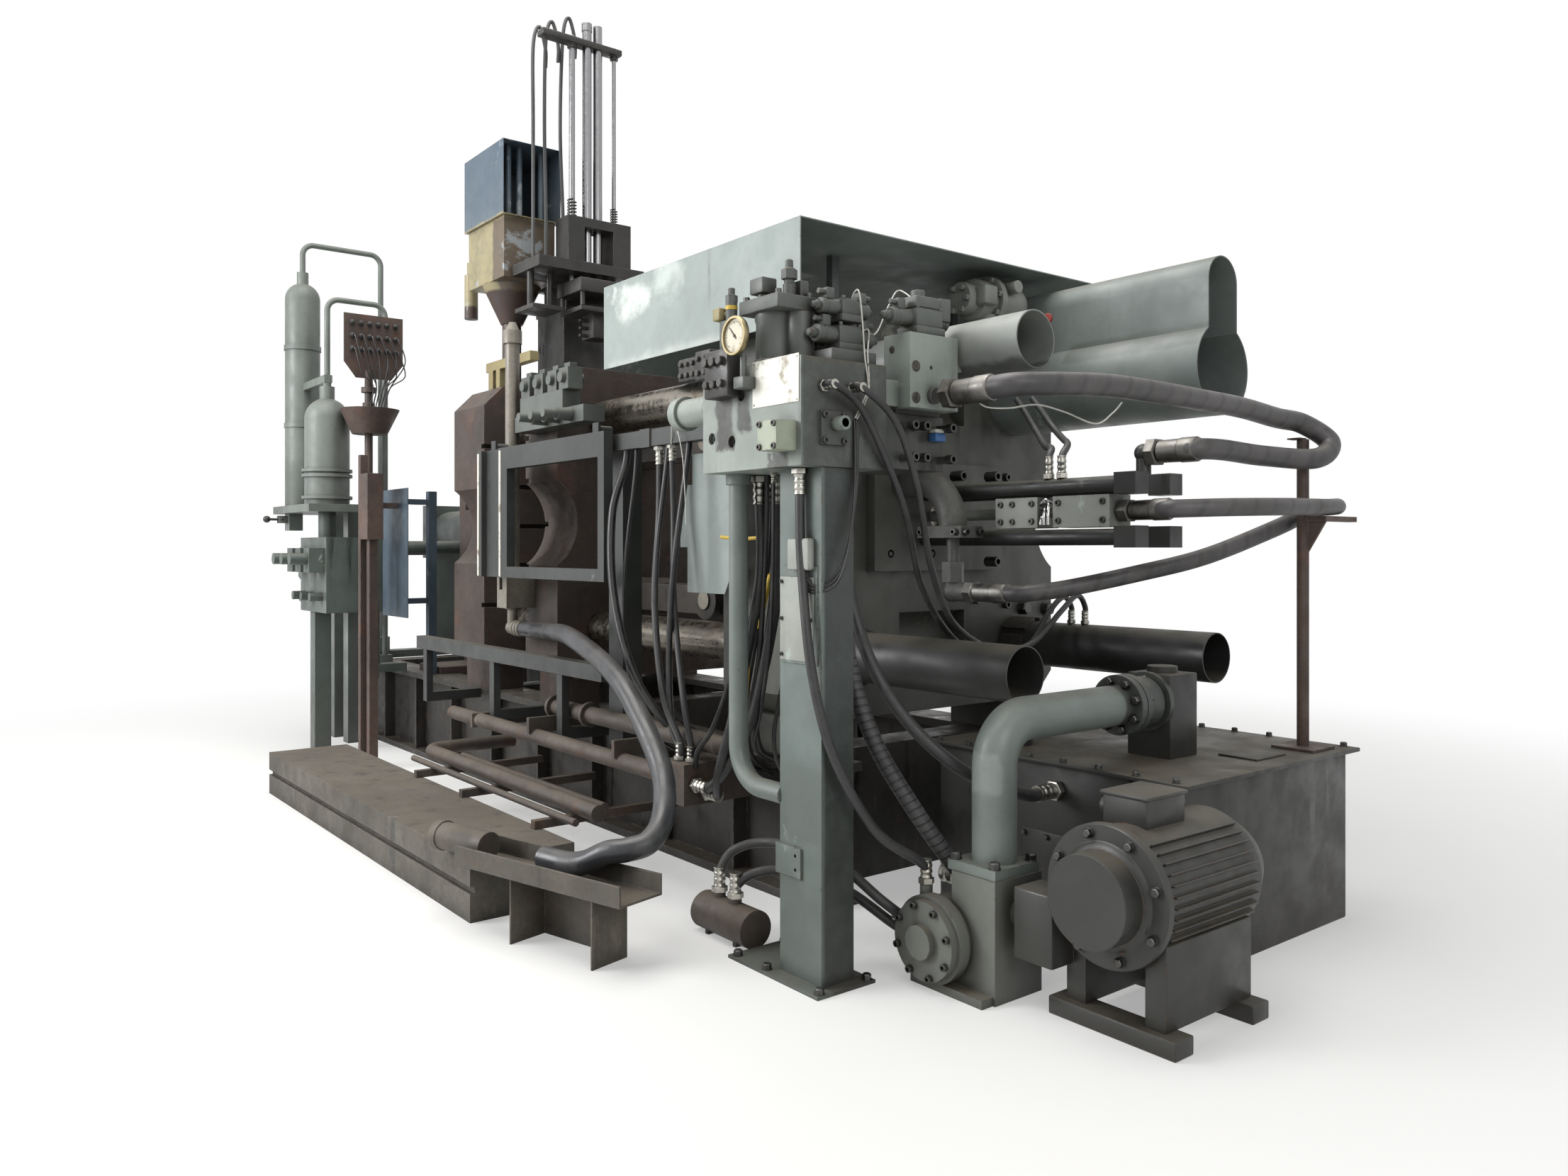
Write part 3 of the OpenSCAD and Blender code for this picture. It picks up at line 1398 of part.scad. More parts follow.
// The chromed tubes and guide rods with their cross bar, springs seats and the spray head below
module spray_lift() {
    color("#c9cccb")
        union() {
            for (y = tube_ys)
                bar_z(lift_d, top_plate_z - 60, lift_top, lift_x, y);
            bar_z(70, lift_top - 60, lift_top, lift_x, tube_ys[0] - 1);
            for (y = rod_ys)
                union() {
                    bar_z(guide_rod_d, top_plate_z - 60, bar_z0 + 60, lift_x, y);
                    bar_z(guide_rod_d + 30, bar_z0 - 26, bar_z0 + 1, lift_x, y);
                }
            box([lift_x - 45, -580, bar_z0], [lift_x + 45, 10, bar_z0 + bar_t]);
            box([head_x0, -400, top_plate_z - 140], [head_x1, 30, top_plate_z - 50]);
            for (x = [head_x0 + 30, head_x1 - 30], y = [-370, 0])
                bar_z(30, top_plate_z - 230, top_plate_z - 139, x, y);
            box([head_x0 + 20, -385, top_plate_z - 260], [head_x1 - 20, 15, top_plate_z - 229]);
            box([head_x0 + 90, -260, top_plate_z - 420], [head_x1 - 90, -110, top_plate_z - 259]);
            for (z = [300, 350, 400], s = [-1, 1])
                bar_y(24, s > 0 ? -111 : -320, s > 0 ? -50 : -259, lift_x + 50, top_plate_z - z);
        }
}

air_x = lift_x - 110;
air_ys = [-577, -485, -359];
air_routes = [
    for (i = [0 : 2])
        let (y = air_ys[i], top = 5040 + 60 * i)
        [[air_x, y, lift_z0 + fit], [air_x, y, 3800], [air_x, y - 10 * i, 4400], [air_x, y, top - 140],
         [air_x, y + 45, top], [air_x, y + 90, top - 140], [air_x, y + 90, top - 260]]
];

// The grey hoses that stand beside the lift and hang over at their tops, and the loop on the tower
module air_tubes() {
    color("#6c7071")
        for (r = air_routes)
            hose(r, 24, [1, 0, 0], steps = 4, sides = 8);
}

tower_x = -1415;
tower_y = -520;
tower_w = [650, 420];

// The post on the fixed platen with its cone, valve box and open sheet box
module lift_tower() {
    x0 = tower_x - tower_w[0] / 2;
    x1 = tower_x + tower_w[0] / 2;
    y0 = tower_y - tower_w[1] / 2;
    y1 = tower_y + tower_w[1] / 2;
    color("#8c9ba3")
        union() {
            bar_z(130, platen_z1, 3130, tower_x, tower_y);
            bar_z(220, platen_z1, platen_z1 + 30, tower_x, tower_y);
            translate([tower_x, tower_y, 3116])
                cylinder(d1 = 150, d2 = 400, h = 266);
            box([x0 + 30, y0 + 20, 3380], [x1 - 30, y1 - 30, 3790]);
            difference() {
                box([x0, y0, 3789], [x1, y1, 4290]);
                box([x0 + sheet_t, y0 + sheet_t, 3795], [x1 + 1, y1 - sheet_t, 4285]);
            }
            for (y = [y0 + 90, y0 + 170, y1 - 90])
                bar_z(40, 3790, 4286, x1 - 120, y);
            bar_x(36, x0 - 240, x0 + 31, tower_y - 60, 3620);
            bar_z(96, 3240, 3560, x0 - 240, tower_y - 60);
            bar_z(60, 3559, 3650, x0 - 240, tower_y - 60);
        }
}

rail_y0 = -1120;
rail_y1 = -1060;
rail_z = 2075;
rail_h = 80;
rail_x0 = -433;
sill_z0 = 900;
sill_z1 = 980;

// The upper rail and the sill that the guard runs between, with the posts and arms that carry them
module guard_rail() {
    z0 = rail_z - rail_h / 2;
    z1 = rail_z + rail_h / 2;
    color("#6f7876")
        union() {
            box([rail_x0, rail_y0, z0], [block_x0, rail_y1, z1]);
            box([1330, rail_y0 - 8, z0 - 4], [1420, rail_y0 + 1, z1 + 4]);
            box([rear_x + 100, rail_y1 - 1, z0], [rear_x + 200, -platen_w / 2, z1]);
            box([900, rail_y1 + 10, 560], [1040, rail_y1 + 120, z1]);
            box([900, rail_y1 - 1, z0], [1040, rail_y1 + 11, z1]);
            box([900, rail_y1 + 119, bed_h - 100], [1040, -beam_out, bed_h - 1]);
            box([-1400, rail_y0 - 80, sill_z0], [1090, rail_y0 - 10, sill_z1]);
            for (x = [-1300, -250, 600]) {
                box([x, rail_y0 - 72, bed_h - 60], [x + 60, rail_y0 - 30, sill_z0 + 1]);
                box([x, rail_y0 - 72, bed_h - 60], [x + 60, -beam_out, bed_h - 1]);
            }
        }
}

guard_x = -433;
guard_gap = 20;
guard_t = 50;
guard_y1 = rail_y0 - guard_gap;
guard_y0 = guard_y1 - guard_t;
guard_z1 = rail_z + 55;
guard_z0 = guard_z1 - guard_h;
stile_x = 290;
roller_d = 56;

// The sliding guard: two stiles with a dark panel between, an open window, and its hanging rollers
module guard_frame() {
    b = guard_bar;
    color("#4c5250")
        union() {
            difference() {
                box([guard_x, guard_y0, guard_z0], [guard_x + guard_l, guard_y1, guard_z1]);
                box(
                    [guard_x + stile_x + 2 * b, guard_y0 - 1, guard_z0 + b],
                    [guard_x + guard_l - b, guard_y1 + 1, guard_z1 - 2 * b]
                );
                box([guard_x + b, guard_y0 - 1, guard_z0 - 1], [guard_x + stile_x, guard_y0 + 30, guard_z1 + 1]);
            }
            for (x = [guard_x + 120, guard_x + guard_l - 180]) {
                box([x, guard_y1 - 14, guard_z1 - 5], [x + 60, guard_y1, rail_z + rail_h / 2 + roller_d + 14]);
                bar_y(roller_d, guard_y1 - 5, rail_y1 - 8, x + 30, rail_z + rail_h / 2 + roller_d / 2 + fit);
            }
        }
}

// The pale sheet beside the rear platen
module side_guard() {
    y1 = -platen_w / 2;
    color("#a9b9b4")
        union() {
            along_y(-1006, -1000)
                polygon([
                    [1500, 1560], [1560, 1560], [1560, 1350], [1860, 1350], [1900, 1420], [1900, 1990],
                    [1600, 1990], [1600, 1850], [1500, 1850]
                ]);
            for (z = [1370, 1955])
                box([1720, -1001, z], [1780, y1, z + 35]);
        }
}

module plinth() {
    color("#8b857c")
        difference() {
            box([-1700, -2040, 0], [1500, -1560, bearer_z]);
            box([-1701, -2041, 120], [1501, -2020, 150]);
        }
}

near_bed_beam();
far_bed_beam();
bed_cross_members();
rear_platen();
moving_platen();
fixed_platen();
tie_bars();
tie_bar_nuts();
rear_links();
front_links();
toggle_pins();
crosshead();
crosshead_guides();
near_upper_cover();
near_lower_cover();
far_upper_cover();
far_lower_cover();
top_hood();
ram_rods();
ram_blocks();
manifold_column();
near_manifold();
rear_manifold();
manifold_valves();
prefill_valve();
riser_pipe();
green_pipe();
column_hoses();
valve_hoses();
rear_hoses();
hose_stand();
drain_pipe();
drain_hose();
drain_trough();
lower_pipes();
oil_tank();
suction_pipe();
pump();
motor();
shot_frame();
shot_cylinder();
accumulators();
accumulator_pipes();
injection_valves();
valve_lever();
wire_plate_post();
junction_boxes();
side_panel();
core_valves();
yellow_bracket();
lift_base();
spray_lift();
air_tubes();
lift_tower();
guard_rail();
guard_frame();
side_guard();
plinth();
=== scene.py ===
# %% [markdown]
# # A cold-chamber die casting machine
# A machine like this squirts molten metal into a steel die that four tie bars hold shut. It has stood in a foundry
# for decades, so its grey-green paint is scuffed, its castings have gone rust brown and its hoses are dusty.
# The solids come from the CAD model and stay where they are. This file gives them their finishes and adds what a
# solid model leaves out: screws, smooth hoses, dials, springs, cables and fittings.

# %% Load the packed model
import math

import bpy
import numpy as np
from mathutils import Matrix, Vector


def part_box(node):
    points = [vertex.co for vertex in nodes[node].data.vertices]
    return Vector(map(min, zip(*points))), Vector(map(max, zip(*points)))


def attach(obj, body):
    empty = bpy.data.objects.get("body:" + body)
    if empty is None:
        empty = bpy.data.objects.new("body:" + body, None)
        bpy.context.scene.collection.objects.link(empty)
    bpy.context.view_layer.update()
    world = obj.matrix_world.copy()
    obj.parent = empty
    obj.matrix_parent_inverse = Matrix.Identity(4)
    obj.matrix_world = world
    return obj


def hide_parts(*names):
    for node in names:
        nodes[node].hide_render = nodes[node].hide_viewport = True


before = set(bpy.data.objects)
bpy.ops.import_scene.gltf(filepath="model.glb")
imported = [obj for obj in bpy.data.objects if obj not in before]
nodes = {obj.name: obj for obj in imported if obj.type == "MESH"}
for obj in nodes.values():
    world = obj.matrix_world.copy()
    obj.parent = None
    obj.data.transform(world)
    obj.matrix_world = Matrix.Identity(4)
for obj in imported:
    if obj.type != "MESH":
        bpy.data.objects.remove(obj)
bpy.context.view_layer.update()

# %% [markdown]
# ## Camera
# The photo was taken by hand at chest height, level, from the rear corner of the clamp. A level camera keeps the
# column upright, and a small downward shift of the lens puts the horizon where the photo has it.

# %% Camera
PHOTO_W = 2212
FOCAL_PX = 1600
HORIZON_UP_PX = 54.5
SENSOR_MM = 36
EYE = (6.0, -3.915, 1.55)
GAZE = (-0.787, 0.617, 0)
camera_data = bpy.data.cameras.new("camera")
camera_data.sensor_width = SENSOR_MM
camera_data.lens = SENSOR_MM * FOCAL_PX / PHOTO_W
camera_data.shift_y = -HORIZON_UP_PX / PHOTO_W
camera = bpy.data.objects.new("camera", camera_data)
camera.location = EYE
camera.rotation_euler = Vector(GAZE).to_track_quat("-Z", "Y").to_euler()
bpy.context.scene.collection.objects.link(camera)
bpy.context.scene.camera = camera
print("lens", round(camera_data.lens, 2), "mm")

# %% [markdown]
# ## Light, floor and background
# The hall is lit softly from above and from the open doors on the left. A broad lamp over the machine, one from
# the left, a weak one on the camera's side and an even grey sky do the same. The white background is only for
# what looks straight at it and for reflections, so it adds no light to a dull painted surface.

# %% Light, floor and background
scene = bpy.context.scene
scene.view_settings.view_transform = "Standard"


def lamp(name, at, target, size, power, colour=(1, 1, 1)):
    """A square soft lamp at one point, turned towards another."""
    data = bpy.data.lights.new(name, "AREA")
    data.shape = "SQUARE"
    data.size = size
    data.energy = power
    data.color = colour
    light = bpy.data.objects.new(name, data)
    light.location = at
    light.rotation_euler = (Vector(target) - Vector(at)).to_track_quat("-Z", "Y").to_euler()
    scene.collection.objects.link(light)
    return light


lamp("roof_light", (0.5, -2.0, 9.5), (0.5, 0, 1.5), 7, 820, (1.0, 0.98, 0.95))
lamp("door_light", (-3.0, -9.5, 5.0), (0.8, 0, 1.6), 5, 900, (0.99, 0.99, 1.0))
lamp("camera_side_light", (9.0, -3.0, 4.5), (2.0, 0, 1.5), 4, 150, (1.0, 0.98, 0.96))

world = bpy.data.worlds.new("hall")
scene.world = world
world.use_nodes = True
sky = world.node_tree
sky.nodes.clear()
path = sky.nodes.new("ShaderNodeLightPath")
seen = path.outputs["Is Camera Ray"]
for ray in ("Is Transmission Ray", "Is Glossy Ray"):
    either = sky.nodes.new("ShaderNodeMath")
    either.operation = "MAXIMUM"
    sky.links.new(seen, either.inputs[0])
    sky.links.new(path.outputs[ray], either.inputs[1])
    seen = either.outputs[0]
blend = sky.nodes.new("ShaderNodeMixShader")
sky.links.new(seen, blend.inputs[0])
for place_in_blend, colour, strength in ((1, (0.86, 0.87, 0.885, 1), 0.30), (2, (1, 1, 1, 1), 1.0)):
    background = sky.nodes.new("ShaderNodeBackground")
    background.inputs["Color"].default_value = colour
    background.inputs["Strength"].default_value = strength
    sky.links.new(background.outputs[0], blend.inputs[place_in_blend])
out = sky.nodes.new("ShaderNodeOutputWorld")
sky.links.new(blend.outputs[0], out.inputs["Surface"])
print("lamps 3, sky even")

# %% [markdown]
# ## How the finishes are made
# An old machine's paint isn't one colour. It has slow changes of tone, pale scuffs, dark oil that ran down,
# chips where the edges were knocked and dust on what faces up. On top of these the finish paints shade into its
# corners and gets darker towards the floor. Each of these is a mask between 0 and 1, and each mask picks between
# two colours. The helpers below make the nodes for such masks, so that every finish is a short list of them.

# %% Screen colours
def srgb(r, g, b):
    """A screen colour from 0 to 255 as the linear colour that a shader wants: ((c + 0.055) / 1.055) to 2.4."""
    linear = [(c / 255 / 12.92) if c < 11 else ((c / 255 + 0.055) / 1.055) ** 2.4 for c in (r, g, b)]
    return (*linear, 1.0)


def darker(colour, share):
    """A screen colour turned linear and dimmed to a share of its light."""
    return (*(c * share for c in srgb(*colour)[:3]), 1)


print("screen grey 128 is", round(srgb(128, 128, 128)[0], 3), "in linear light")

# %% [markdown]
# ## A finish in the making
# A material could be built with a line for each node and each link. This class does that in the background: each
# method adds a few nodes and hands back the socket that carries their result, so a finish reads like a sum. Noise
# is taken at the object's own coordinates in metres, so it stays put when a piece moves.

# %% The Finish class
class Finish:
    """A material in the making: it adds nodes, joins them and hands back the socket that comes out."""

    def __init__(self, name):
        self.material = bpy.data.materials.new(name)
        self.material.use_nodes = True
        self.tree = self.material.node_tree
        self.shader = self.tree.nodes["Principled BSDF"]
        self.place = self.add("ShaderNodeTexCoord").outputs["Object"]

    def add(self, kind, inputs=None, **settings):
        made = self.tree.nodes.new(kind)
        for key, value in settings.items():
            setattr(made, key, value)
        for key, value in (inputs or {}).items():
            self.feed(value, made.inputs[key])
        return made

    def feed(self, value, socket):
        """Links an output to the socket, or sets the socket to a plain value."""
        if isinstance(value, bpy.types.NodeSocket):
            self.tree.links.new(value, socket)
        else:
            socket.default_value = value

    def noise(self, scale, detail=5, rough=0.6, stretch=None, twist=0.0):
        """Cloudy noise, scale in patches per metre; stretch makes it longer along an axis."""
        where = self.place
        if stretch:
            where = self.add("ShaderNodeMapping", {"Vector": where, "Scale": stretch}).outputs[0]
        made = self.add("ShaderNodeTexNoise", {
            "Vector": where, "Scale": scale, "Detail": detail, "Roughness": rough, "Distortion": twist})
        return made.outputs["Fac"]

    def band(self, value, low, high, to_low=0.0, to_high=1.0):
        """A smooth step: to_low under low, to_high over high."""
        made = self.add("ShaderNodeMapRange", {
            "Value": value, "From Min": low, "From Max": high, "To Min": to_low, "To Max": to_high},
            interpolation_type="SMOOTHSTEP")
        return made.outputs[0]

    def maths(self, operation, a, b=0.0):
        return self.add("ShaderNodeMath", {0: a, 1: b}, operation=operation, use_clamp=False).outputs[0]

    def times(self, a, b):
        return self.maths("MULTIPLY", a, b)

    def either(self, a, b):
        return self.maths("MAXIMUM", a, b)

    def mix(self, mask, under, over):
        """The colour under where mask is 0 and over where it is 1; three whole numbers are a screen colour."""
        made = self.add("ShaderNodeMix", data_type="RGBA")
        for key, value in ((0, mask), (6, under), (7, over)):
            screen = isinstance(value, tuple) and len(value) == 3
            self.feed(srgb(*value) if screen else value, made.inputs[key])
        return made.outputs[2]

    def facing_up(self):
        """1 on surfaces that look up, 0 on walls."""
        normal = self.add("ShaderNodeNewGeometry").outputs["Normal"]
        z = self.add("ShaderNodeSeparateXYZ", {"Vector": normal}).outputs["Z"]
        return self.band(z, 0.55, 0.95)

    def zone(self, low, high, soft=0.012, wobble=0.06, grain=7):
        """1 inside the box between two corners in metres, its rim bent by noise; None leaves a side open."""
        cloud = self.add("ShaderNodeTexNoise", {"Vector": self.place, "Scale": grain, "Detail": 6, "Roughness": 0.65})
        bend = self.add("ShaderNodeVectorMath", {0: cloud.outputs["Color"], 1: (0.5, 0.5, 0.5)}, operation="SUBTRACT")
        bent = self.add("ShaderNodeVectorMath", {0: bend.outputs[0], 1: (wobble,) * 3, 2: self.place},
                        operation="MULTIPLY_ADD")
        parts = self.add("ShaderNodeSeparateXYZ", {"Vector": bent.outputs[0]}).outputs
        inside = None
        for value, a, b in zip(parts, low, high):
            for side in ((a, 0, 1), (b, 1, 0)):
                if side[0] is not None:
                    step = self.band(value, side[0] - soft, side[0] + soft, side[1], side[2])
                    inside = step if inside is None else self.times(inside, step)
        return inside

    def height(self, low, high):
        """1 below low, 0 above high, measured over the floor."""
        z = self.add("ShaderNodeSeparateXYZ", {"Vector": self.place}).outputs["Z"]
        return self.band(z, low, high, 1.0, 0.0)

    def edges(self, radius, low=0.015, high=0.12):
        """1 near corners, where a normal that is rounded over radius leaves the true one."""
        true = self.add("ShaderNodeNewGeometry").outputs["Normal"]
        round_ = self.add("ShaderNodeBevel", {"Radius": radius}, samples=4).outputs[0]
        same = self.add("ShaderNodeVectorMath", {0: true, 1: round_}, operation="DOT_PRODUCT").outputs["Value"]
        return self.band(self.maths("SUBTRACT", 1.0, same), low, high)

    def corners(self, distance):
        """1 in corners and gaps that little light reaches."""
        open_ = self.add("ShaderNodeAmbientOcclusion", {"Distance": distance}, samples=4).outputs["AO"]
        return self.band(open_, 0.35, 0.85, 1.0, 0.0)

    def end(self, colour, roughness, relief=None, depth=0.001, soft_edge=0.0, metallic=0.0):
        """Joins the results to the shader; relief is a height map and soft_edge rounds the corners' shine."""
        self.tree.links.new(colour, self.shader.inputs["Base Color"])
        self.feed(roughness, self.shader.inputs["Roughness"])
        self.feed(metallic, self.shader.inputs["Metallic"])
        normal = None
        if soft_edge:
            normal = self.add("ShaderNodeBevel", {"Radius": soft_edge}, samples=4).outputs[0]
        if relief is not None:
            bump = self.add("ShaderNodeBump", {"Height": relief, "Strength": 0.6, "Distance": depth})
            if normal is not None:
                self.tree.links.new(normal, bump.inputs["Normal"])
            normal = bump.outputs[0]
        if normal is not None:
            self.tree.links.new(normal, self.shader.inputs["Normal"])
        return self.material


print("a finish can", [name for name in vars(Finish) if not name.startswith("_")])

# %% [markdown]
# ## Paint
# The makers sprayed their machines one grey-green. Forty years later the hood is still pale, the block has oily
# runs under each valve and the column is knocked about at the bottom. One recipe with a few dials gives all of
# them: which two tones it drifts between, how much of it is scuffed, oily, chipped and dusty, and how dark its
# corners (painted shade) and its lower part get. Stains, and painted shade that sits in one spot, are boxes in
# space with a ragged rim.

# %% Paint recipe
def worn_paint(name, tone, tone_2, scuff=(176, 190, 182), under=(58, 56, 52), rust=(92, 62, 44),
               scuffed=0.5, oily=0.5, chipped=0.5, dusty=0.5, corner_shade_and_low_darkening=0.5, shine=0.46, patches_of=()):
    """Two tones that drift, then clouds, scuffs, runs of oil, painted shade in corners, a darkening towards the
    floor, chips and dust; patches_of lists (low corner, high corner, colour, strength) for stains, bare places and
    painted shade that sit in one spot, and may add how soft, how ragged and how fine their rim is."""
    f = Finish(name)
    # tones and stains
    drift = f.band(f.noise(1.1, 6, 0.62), 0.38, 0.64)
    colour = f.mix(drift, tone, tone_2)
    for low, high, stain, strength, *rim in patches_of:
        colour = f.mix(f.times(f.zone(low, high, *rim), strength), colour, stain)
    cloud = f.band(f.noise(9, 8, 0.7), 0.40, 0.72)
    colour = f.mix(f.times(cloud, 0.35), colour, darker(tone, 0.62))
    # scuffs, runs of oil, painted shade in corners and a darkening towards the floor
    rub = f.band(f.noise(3.1, 9, 0.62, twist=0.4), 0.70 - 0.12 * scuffed, 0.74 - 0.10 * scuffed)
    colour = f.mix(f.times(rub, 0.75), colour, scuff)
    runs = f.band(f.noise(7, 5, 0.6, (1, 1, 0.10)), 0.64 - 0.14 * oily, 0.80 - 0.14 * oily)
    patches = f.band(f.noise(1.7, 4, 0.55), 0.45, 0.65)
    oil = f.times(runs, f.maths("ADD", f.times(patches, 0.8), 0.15))
    colour = f.mix(f.times(oil, 0.85), colour, (38, 38, 34))
    corner = f.times(f.corners(0.10), corner_shade_and_low_darkening)
    colour = f.mix(corner, colour, (44, 42, 37))
    low = f.times(f.height(0.05, 0.9), 0.55 * corner_shade_and_low_darkening)
    colour = f.mix(low, colour, (52, 48, 42))
    # chips down to the metal, first at the edges
    speck = f.noise(34, 6, 0.75)
    edge = f.edges(0.012)
    chip = f.either(
        f.band(f.maths("ADD", speck, f.times(edge, 0.20 * chipped + 0.02)), 0.68, 0.71),
        f.band(f.noise(5.5, 9, 0.7), 0.80 - 0.10 * chipped, 0.82 - 0.10 * chipped))
    tone_under = f.mix(f.band(f.noise(13, 4), 0.42, 0.58), under, rust)
    colour = f.mix(chip, colour, tone_under)
    # dust, and how each layer shines
    dust = f.times(f.facing_up(), f.band(f.noise(4, 6), 0.25, 0.65, 0.35, 0.9))
    dust = f.times(dust, dusty)
    colour = f.mix(dust, colour, (96, 90, 78))
    rough = f.band(f.noise(6, 5), 0.3, 0.7, shine - 0.10, shine + 0.14)
    rough = f.maths("SUBTRACT", rough, f.times(oil, 0.20))
    rough = f.maths("ADD", rough, f.times(dust, 0.25))
    relief = f.maths("SUBTRACT", f.times(f.noise(160, 3, 0.5), 0.25), f.times(chip, 0.8))
    return f.end(colour, rough, relief, 0.0012, soft_edge=0.0035)


print("paint recipe ready")

# %% [markdown]
# ## This machine's paints
# Hood, block, column, pipes and covers had one colour once, but heat, oil and hands treated them differently, so
# each gets its own dials. The rows in patches_of are stains and bare places that the photo shows, and some are
# painted shade: the inside of the hood, the column's right side, the underside of the near cover tube and, together
# with a stain, the near block's right side. A row gives two corners of a box in metres, the colour that shows
# there, how strong it is and how ragged its rim.

# %% This machine's paints
OIL = (54, 55, 51)
# the near block's right face: partly a dark stain, partly painted shade for the side away from the lamps
STAIN_AND_SIDE_SHADE = (50, 52, 49)
hood_paint = worn_paint(
    "hood_paint", (150, 160, 157), (136, 146, 143), scuff=(196, 203, 199), scuffed=0.55, oily=0.15,
    chipped=0.3, dusty=0.35, corner_shade_and_low_darkening=0.4, patches_of=(
        ((1.02, -1.4, 2.72), (1.28, -0.8, 2.84), (212, 219, 214), 0.85, 0.05, 0.38, 5),
        ((1.34, -1.4, 2.78), (1.58, -0.8, 2.95), (204, 213, 208), 0.65, 0.06, 0.42, 4),
        ((0.9, -1.4, 2.40), (1.9, -0.8, 2.49), (204, 210, 205), 0.45, 0.03, 0.16, 6),
        # painted shade: this row darkens the inside of the hood
        ((0.872, -1.05, 2.4), (2.45, 1.05, 2.882), (46, 50, 48), 0.85, 0.004, 0.0)))
block_paint = worn_paint(
    "block_paint", (148, 156, 150), (128, 136, 131), scuff=(182, 190, 184), scuffed=0.3, oily=0.6,
    chipped=0.4, dusty=0.75, corner_shade_and_low_darkening=0.7, patches_of=(
        ((2.46, -1.6, 1.92), (2.57, -1.38, 2.2), OIL, 1.0, 0.010, 0.09, 9),
        ((2.60, -1.6, 1.98), (2.68, -1.38, 2.2), OIL, 0.95, 0.010, 0.09, 9),
        ((2.78, -1.52, 1.80), (2.89, -1.38, 1.895), OIL, 0.9, 0.010, 0.07, 8),
        # partly stain, partly painted shade: this row darkens the whole right face of the near block
        ((2.956, -1.462, 1.80), (3.0, -1.0, 2.24), STAIN_AND_SIDE_SHADE, 0.85, 0.012, 0.02, 9),
        ((2.83, -1.60, 1.885), (2.955, -1.468, 2.0), (165, 172, 150), 0.85, 0.004, 0.0),
        ((2.5, -1.46, 2.205), (3.0, -1.02, 2.24), (78, 74, 64), 0.8)))
bridge_paint = worn_paint("bridge_paint", (84, 88, 84), (58, 61, 58), scuffed=0.3, oily=0.8, chipped=0.5,
                          dusty=0.6, corner_shade_and_low_darkening=0.8)
column_paint = worn_paint(
    "column_paint", (110, 121, 117), (91, 102, 98), scuff=(146, 156, 151), scuffed=0.25, oily=0.3,
    chipped=0.5, dusty=0.5, corner_shade_and_low_darkening=0.6, patches_of=(
        # painted shade: this row darkens the column's whole right side
        ((2.945, -1.352, -0.1), (3.1, -1.1, 2.0), (42, 46, 44), 0.9, 0.008, 0.01),
        ((2.70, -1.40, 0.50), (2.97, -1.35, 0.78), (84, 92, 87), 0.5)))
pipe_paint = worn_paint(
    "pipe_paint", (120, 129, 125), (100, 109, 105), scuff=(156, 164, 160), scuffed=0.2, oily=0.3,
    chipped=0.35, dusty=0.55, corner_shade_and_low_darkening=0.35, patches_of=(
        ((3.2, -1.0, 0.70), (3.4, -0.9, 0.84), (150, 158, 153), 0.5),
        ((3.1, -0.20, 0.75), (3.5, 0.09, 1.15), (44, 46, 44), 0.85, 0.01, 0.02)))
cover_paint = worn_paint("cover_paint", (132, 140, 137), (108, 116, 113), scuffed=0.3, oily=0.25,
                         chipped=0.3, dusty=0.6, corner_shade_and_low_darkening=0.3, patches_of=(
        # painted shade: this row darkens a band along the underside of the near upper cover tube
        ((2.2, -0.8, 2.2), (3.4, -0.4, 2.262), (70, 72, 70), 0.8),
        ((2.6, 0.3, 2.42), (3.4, 0.5, 2.52), (84, 88, 86), 0.5)))
bottle_paint = worn_paint("bottle_paint", (114, 120, 115), (91, 97, 92), scuffed=0.3, oily=0.3,
                          chipped=0.35, dusty=0.5, corner_shade_and_low_darkening=0.45)
platen_paint = worn_paint("platen_paint", (88, 90, 84), (60, 62, 58), scuff=(120, 122, 112),
                          rust=(84, 66, 56), scuffed=0.45, oily=0.85, chipped=0.6, dusty=0.6, corner_shade_and_low_darkening=0.9)
valve_paint = worn_paint("valve_paint", (98, 103, 99), (70, 74, 71), scuff=(140, 146, 140), scuffed=0.35,
                         oily=0.6, chipped=0.5, dusty=0.8, corner_shade_and_low_darkening=0.75)
injection_paint = worn_paint("injection_paint", (88, 97, 92), (62, 68, 65), scuffed=0.3, oily=0.7,
                             chipped=0.5, dusty=0.5, corner_shade_and_low_darkening=0.75)
pump_paint = worn_paint("pump_paint", (120, 124, 118), (92, 96, 90), scuffed=0.4, oily=0.55,
                        chipped=0.5, dusty=0.8, corner_shade_and_low_darkening=0.7)
pale_paint = worn_paint("pale_paint", (160, 164, 158), (138, 142, 136), scuffed=0.4, oily=0.4,
                        chipped=0.4, dusty=0.4, corner_shade_and_low_darkening=0.5)
blue_paint = worn_paint("blue_paint", (74, 88, 100), (54, 66, 76), scuff=(150, 160, 165), scuffed=0.55,
                        oily=0.3, chipped=0.5, dusty=0.4, corner_shade_and_low_darkening=0.4)
tower_paint = worn_paint(
    "tower_paint", (72, 88, 102), (92, 104, 112), scuff=(160, 168, 172), scuffed=0.75, oily=0.3,
    chipped=0.7, dusty=0.4, corner_shade_and_low_darkening=0.5, patches_of=(
        ((None, None, None), (None, None, 3.80), (152, 142, 108), 1.0),
        ((-1.30, None, 3.2), (-1.04, None, 3.78), (84, 70, 60), 0.85),
        ((None, None, None), (None, None, 3.33), (66, 50, 42), 1.0)))
yellow_paint = worn_paint("yellow_paint", (158, 148, 106), (132, 120, 84), scuff=(184, 176, 140),
                          scuffed=0.4, oily=0.35, chipped=0.6, dusty=0.5, corner_shade_and_low_darkening=0.5)
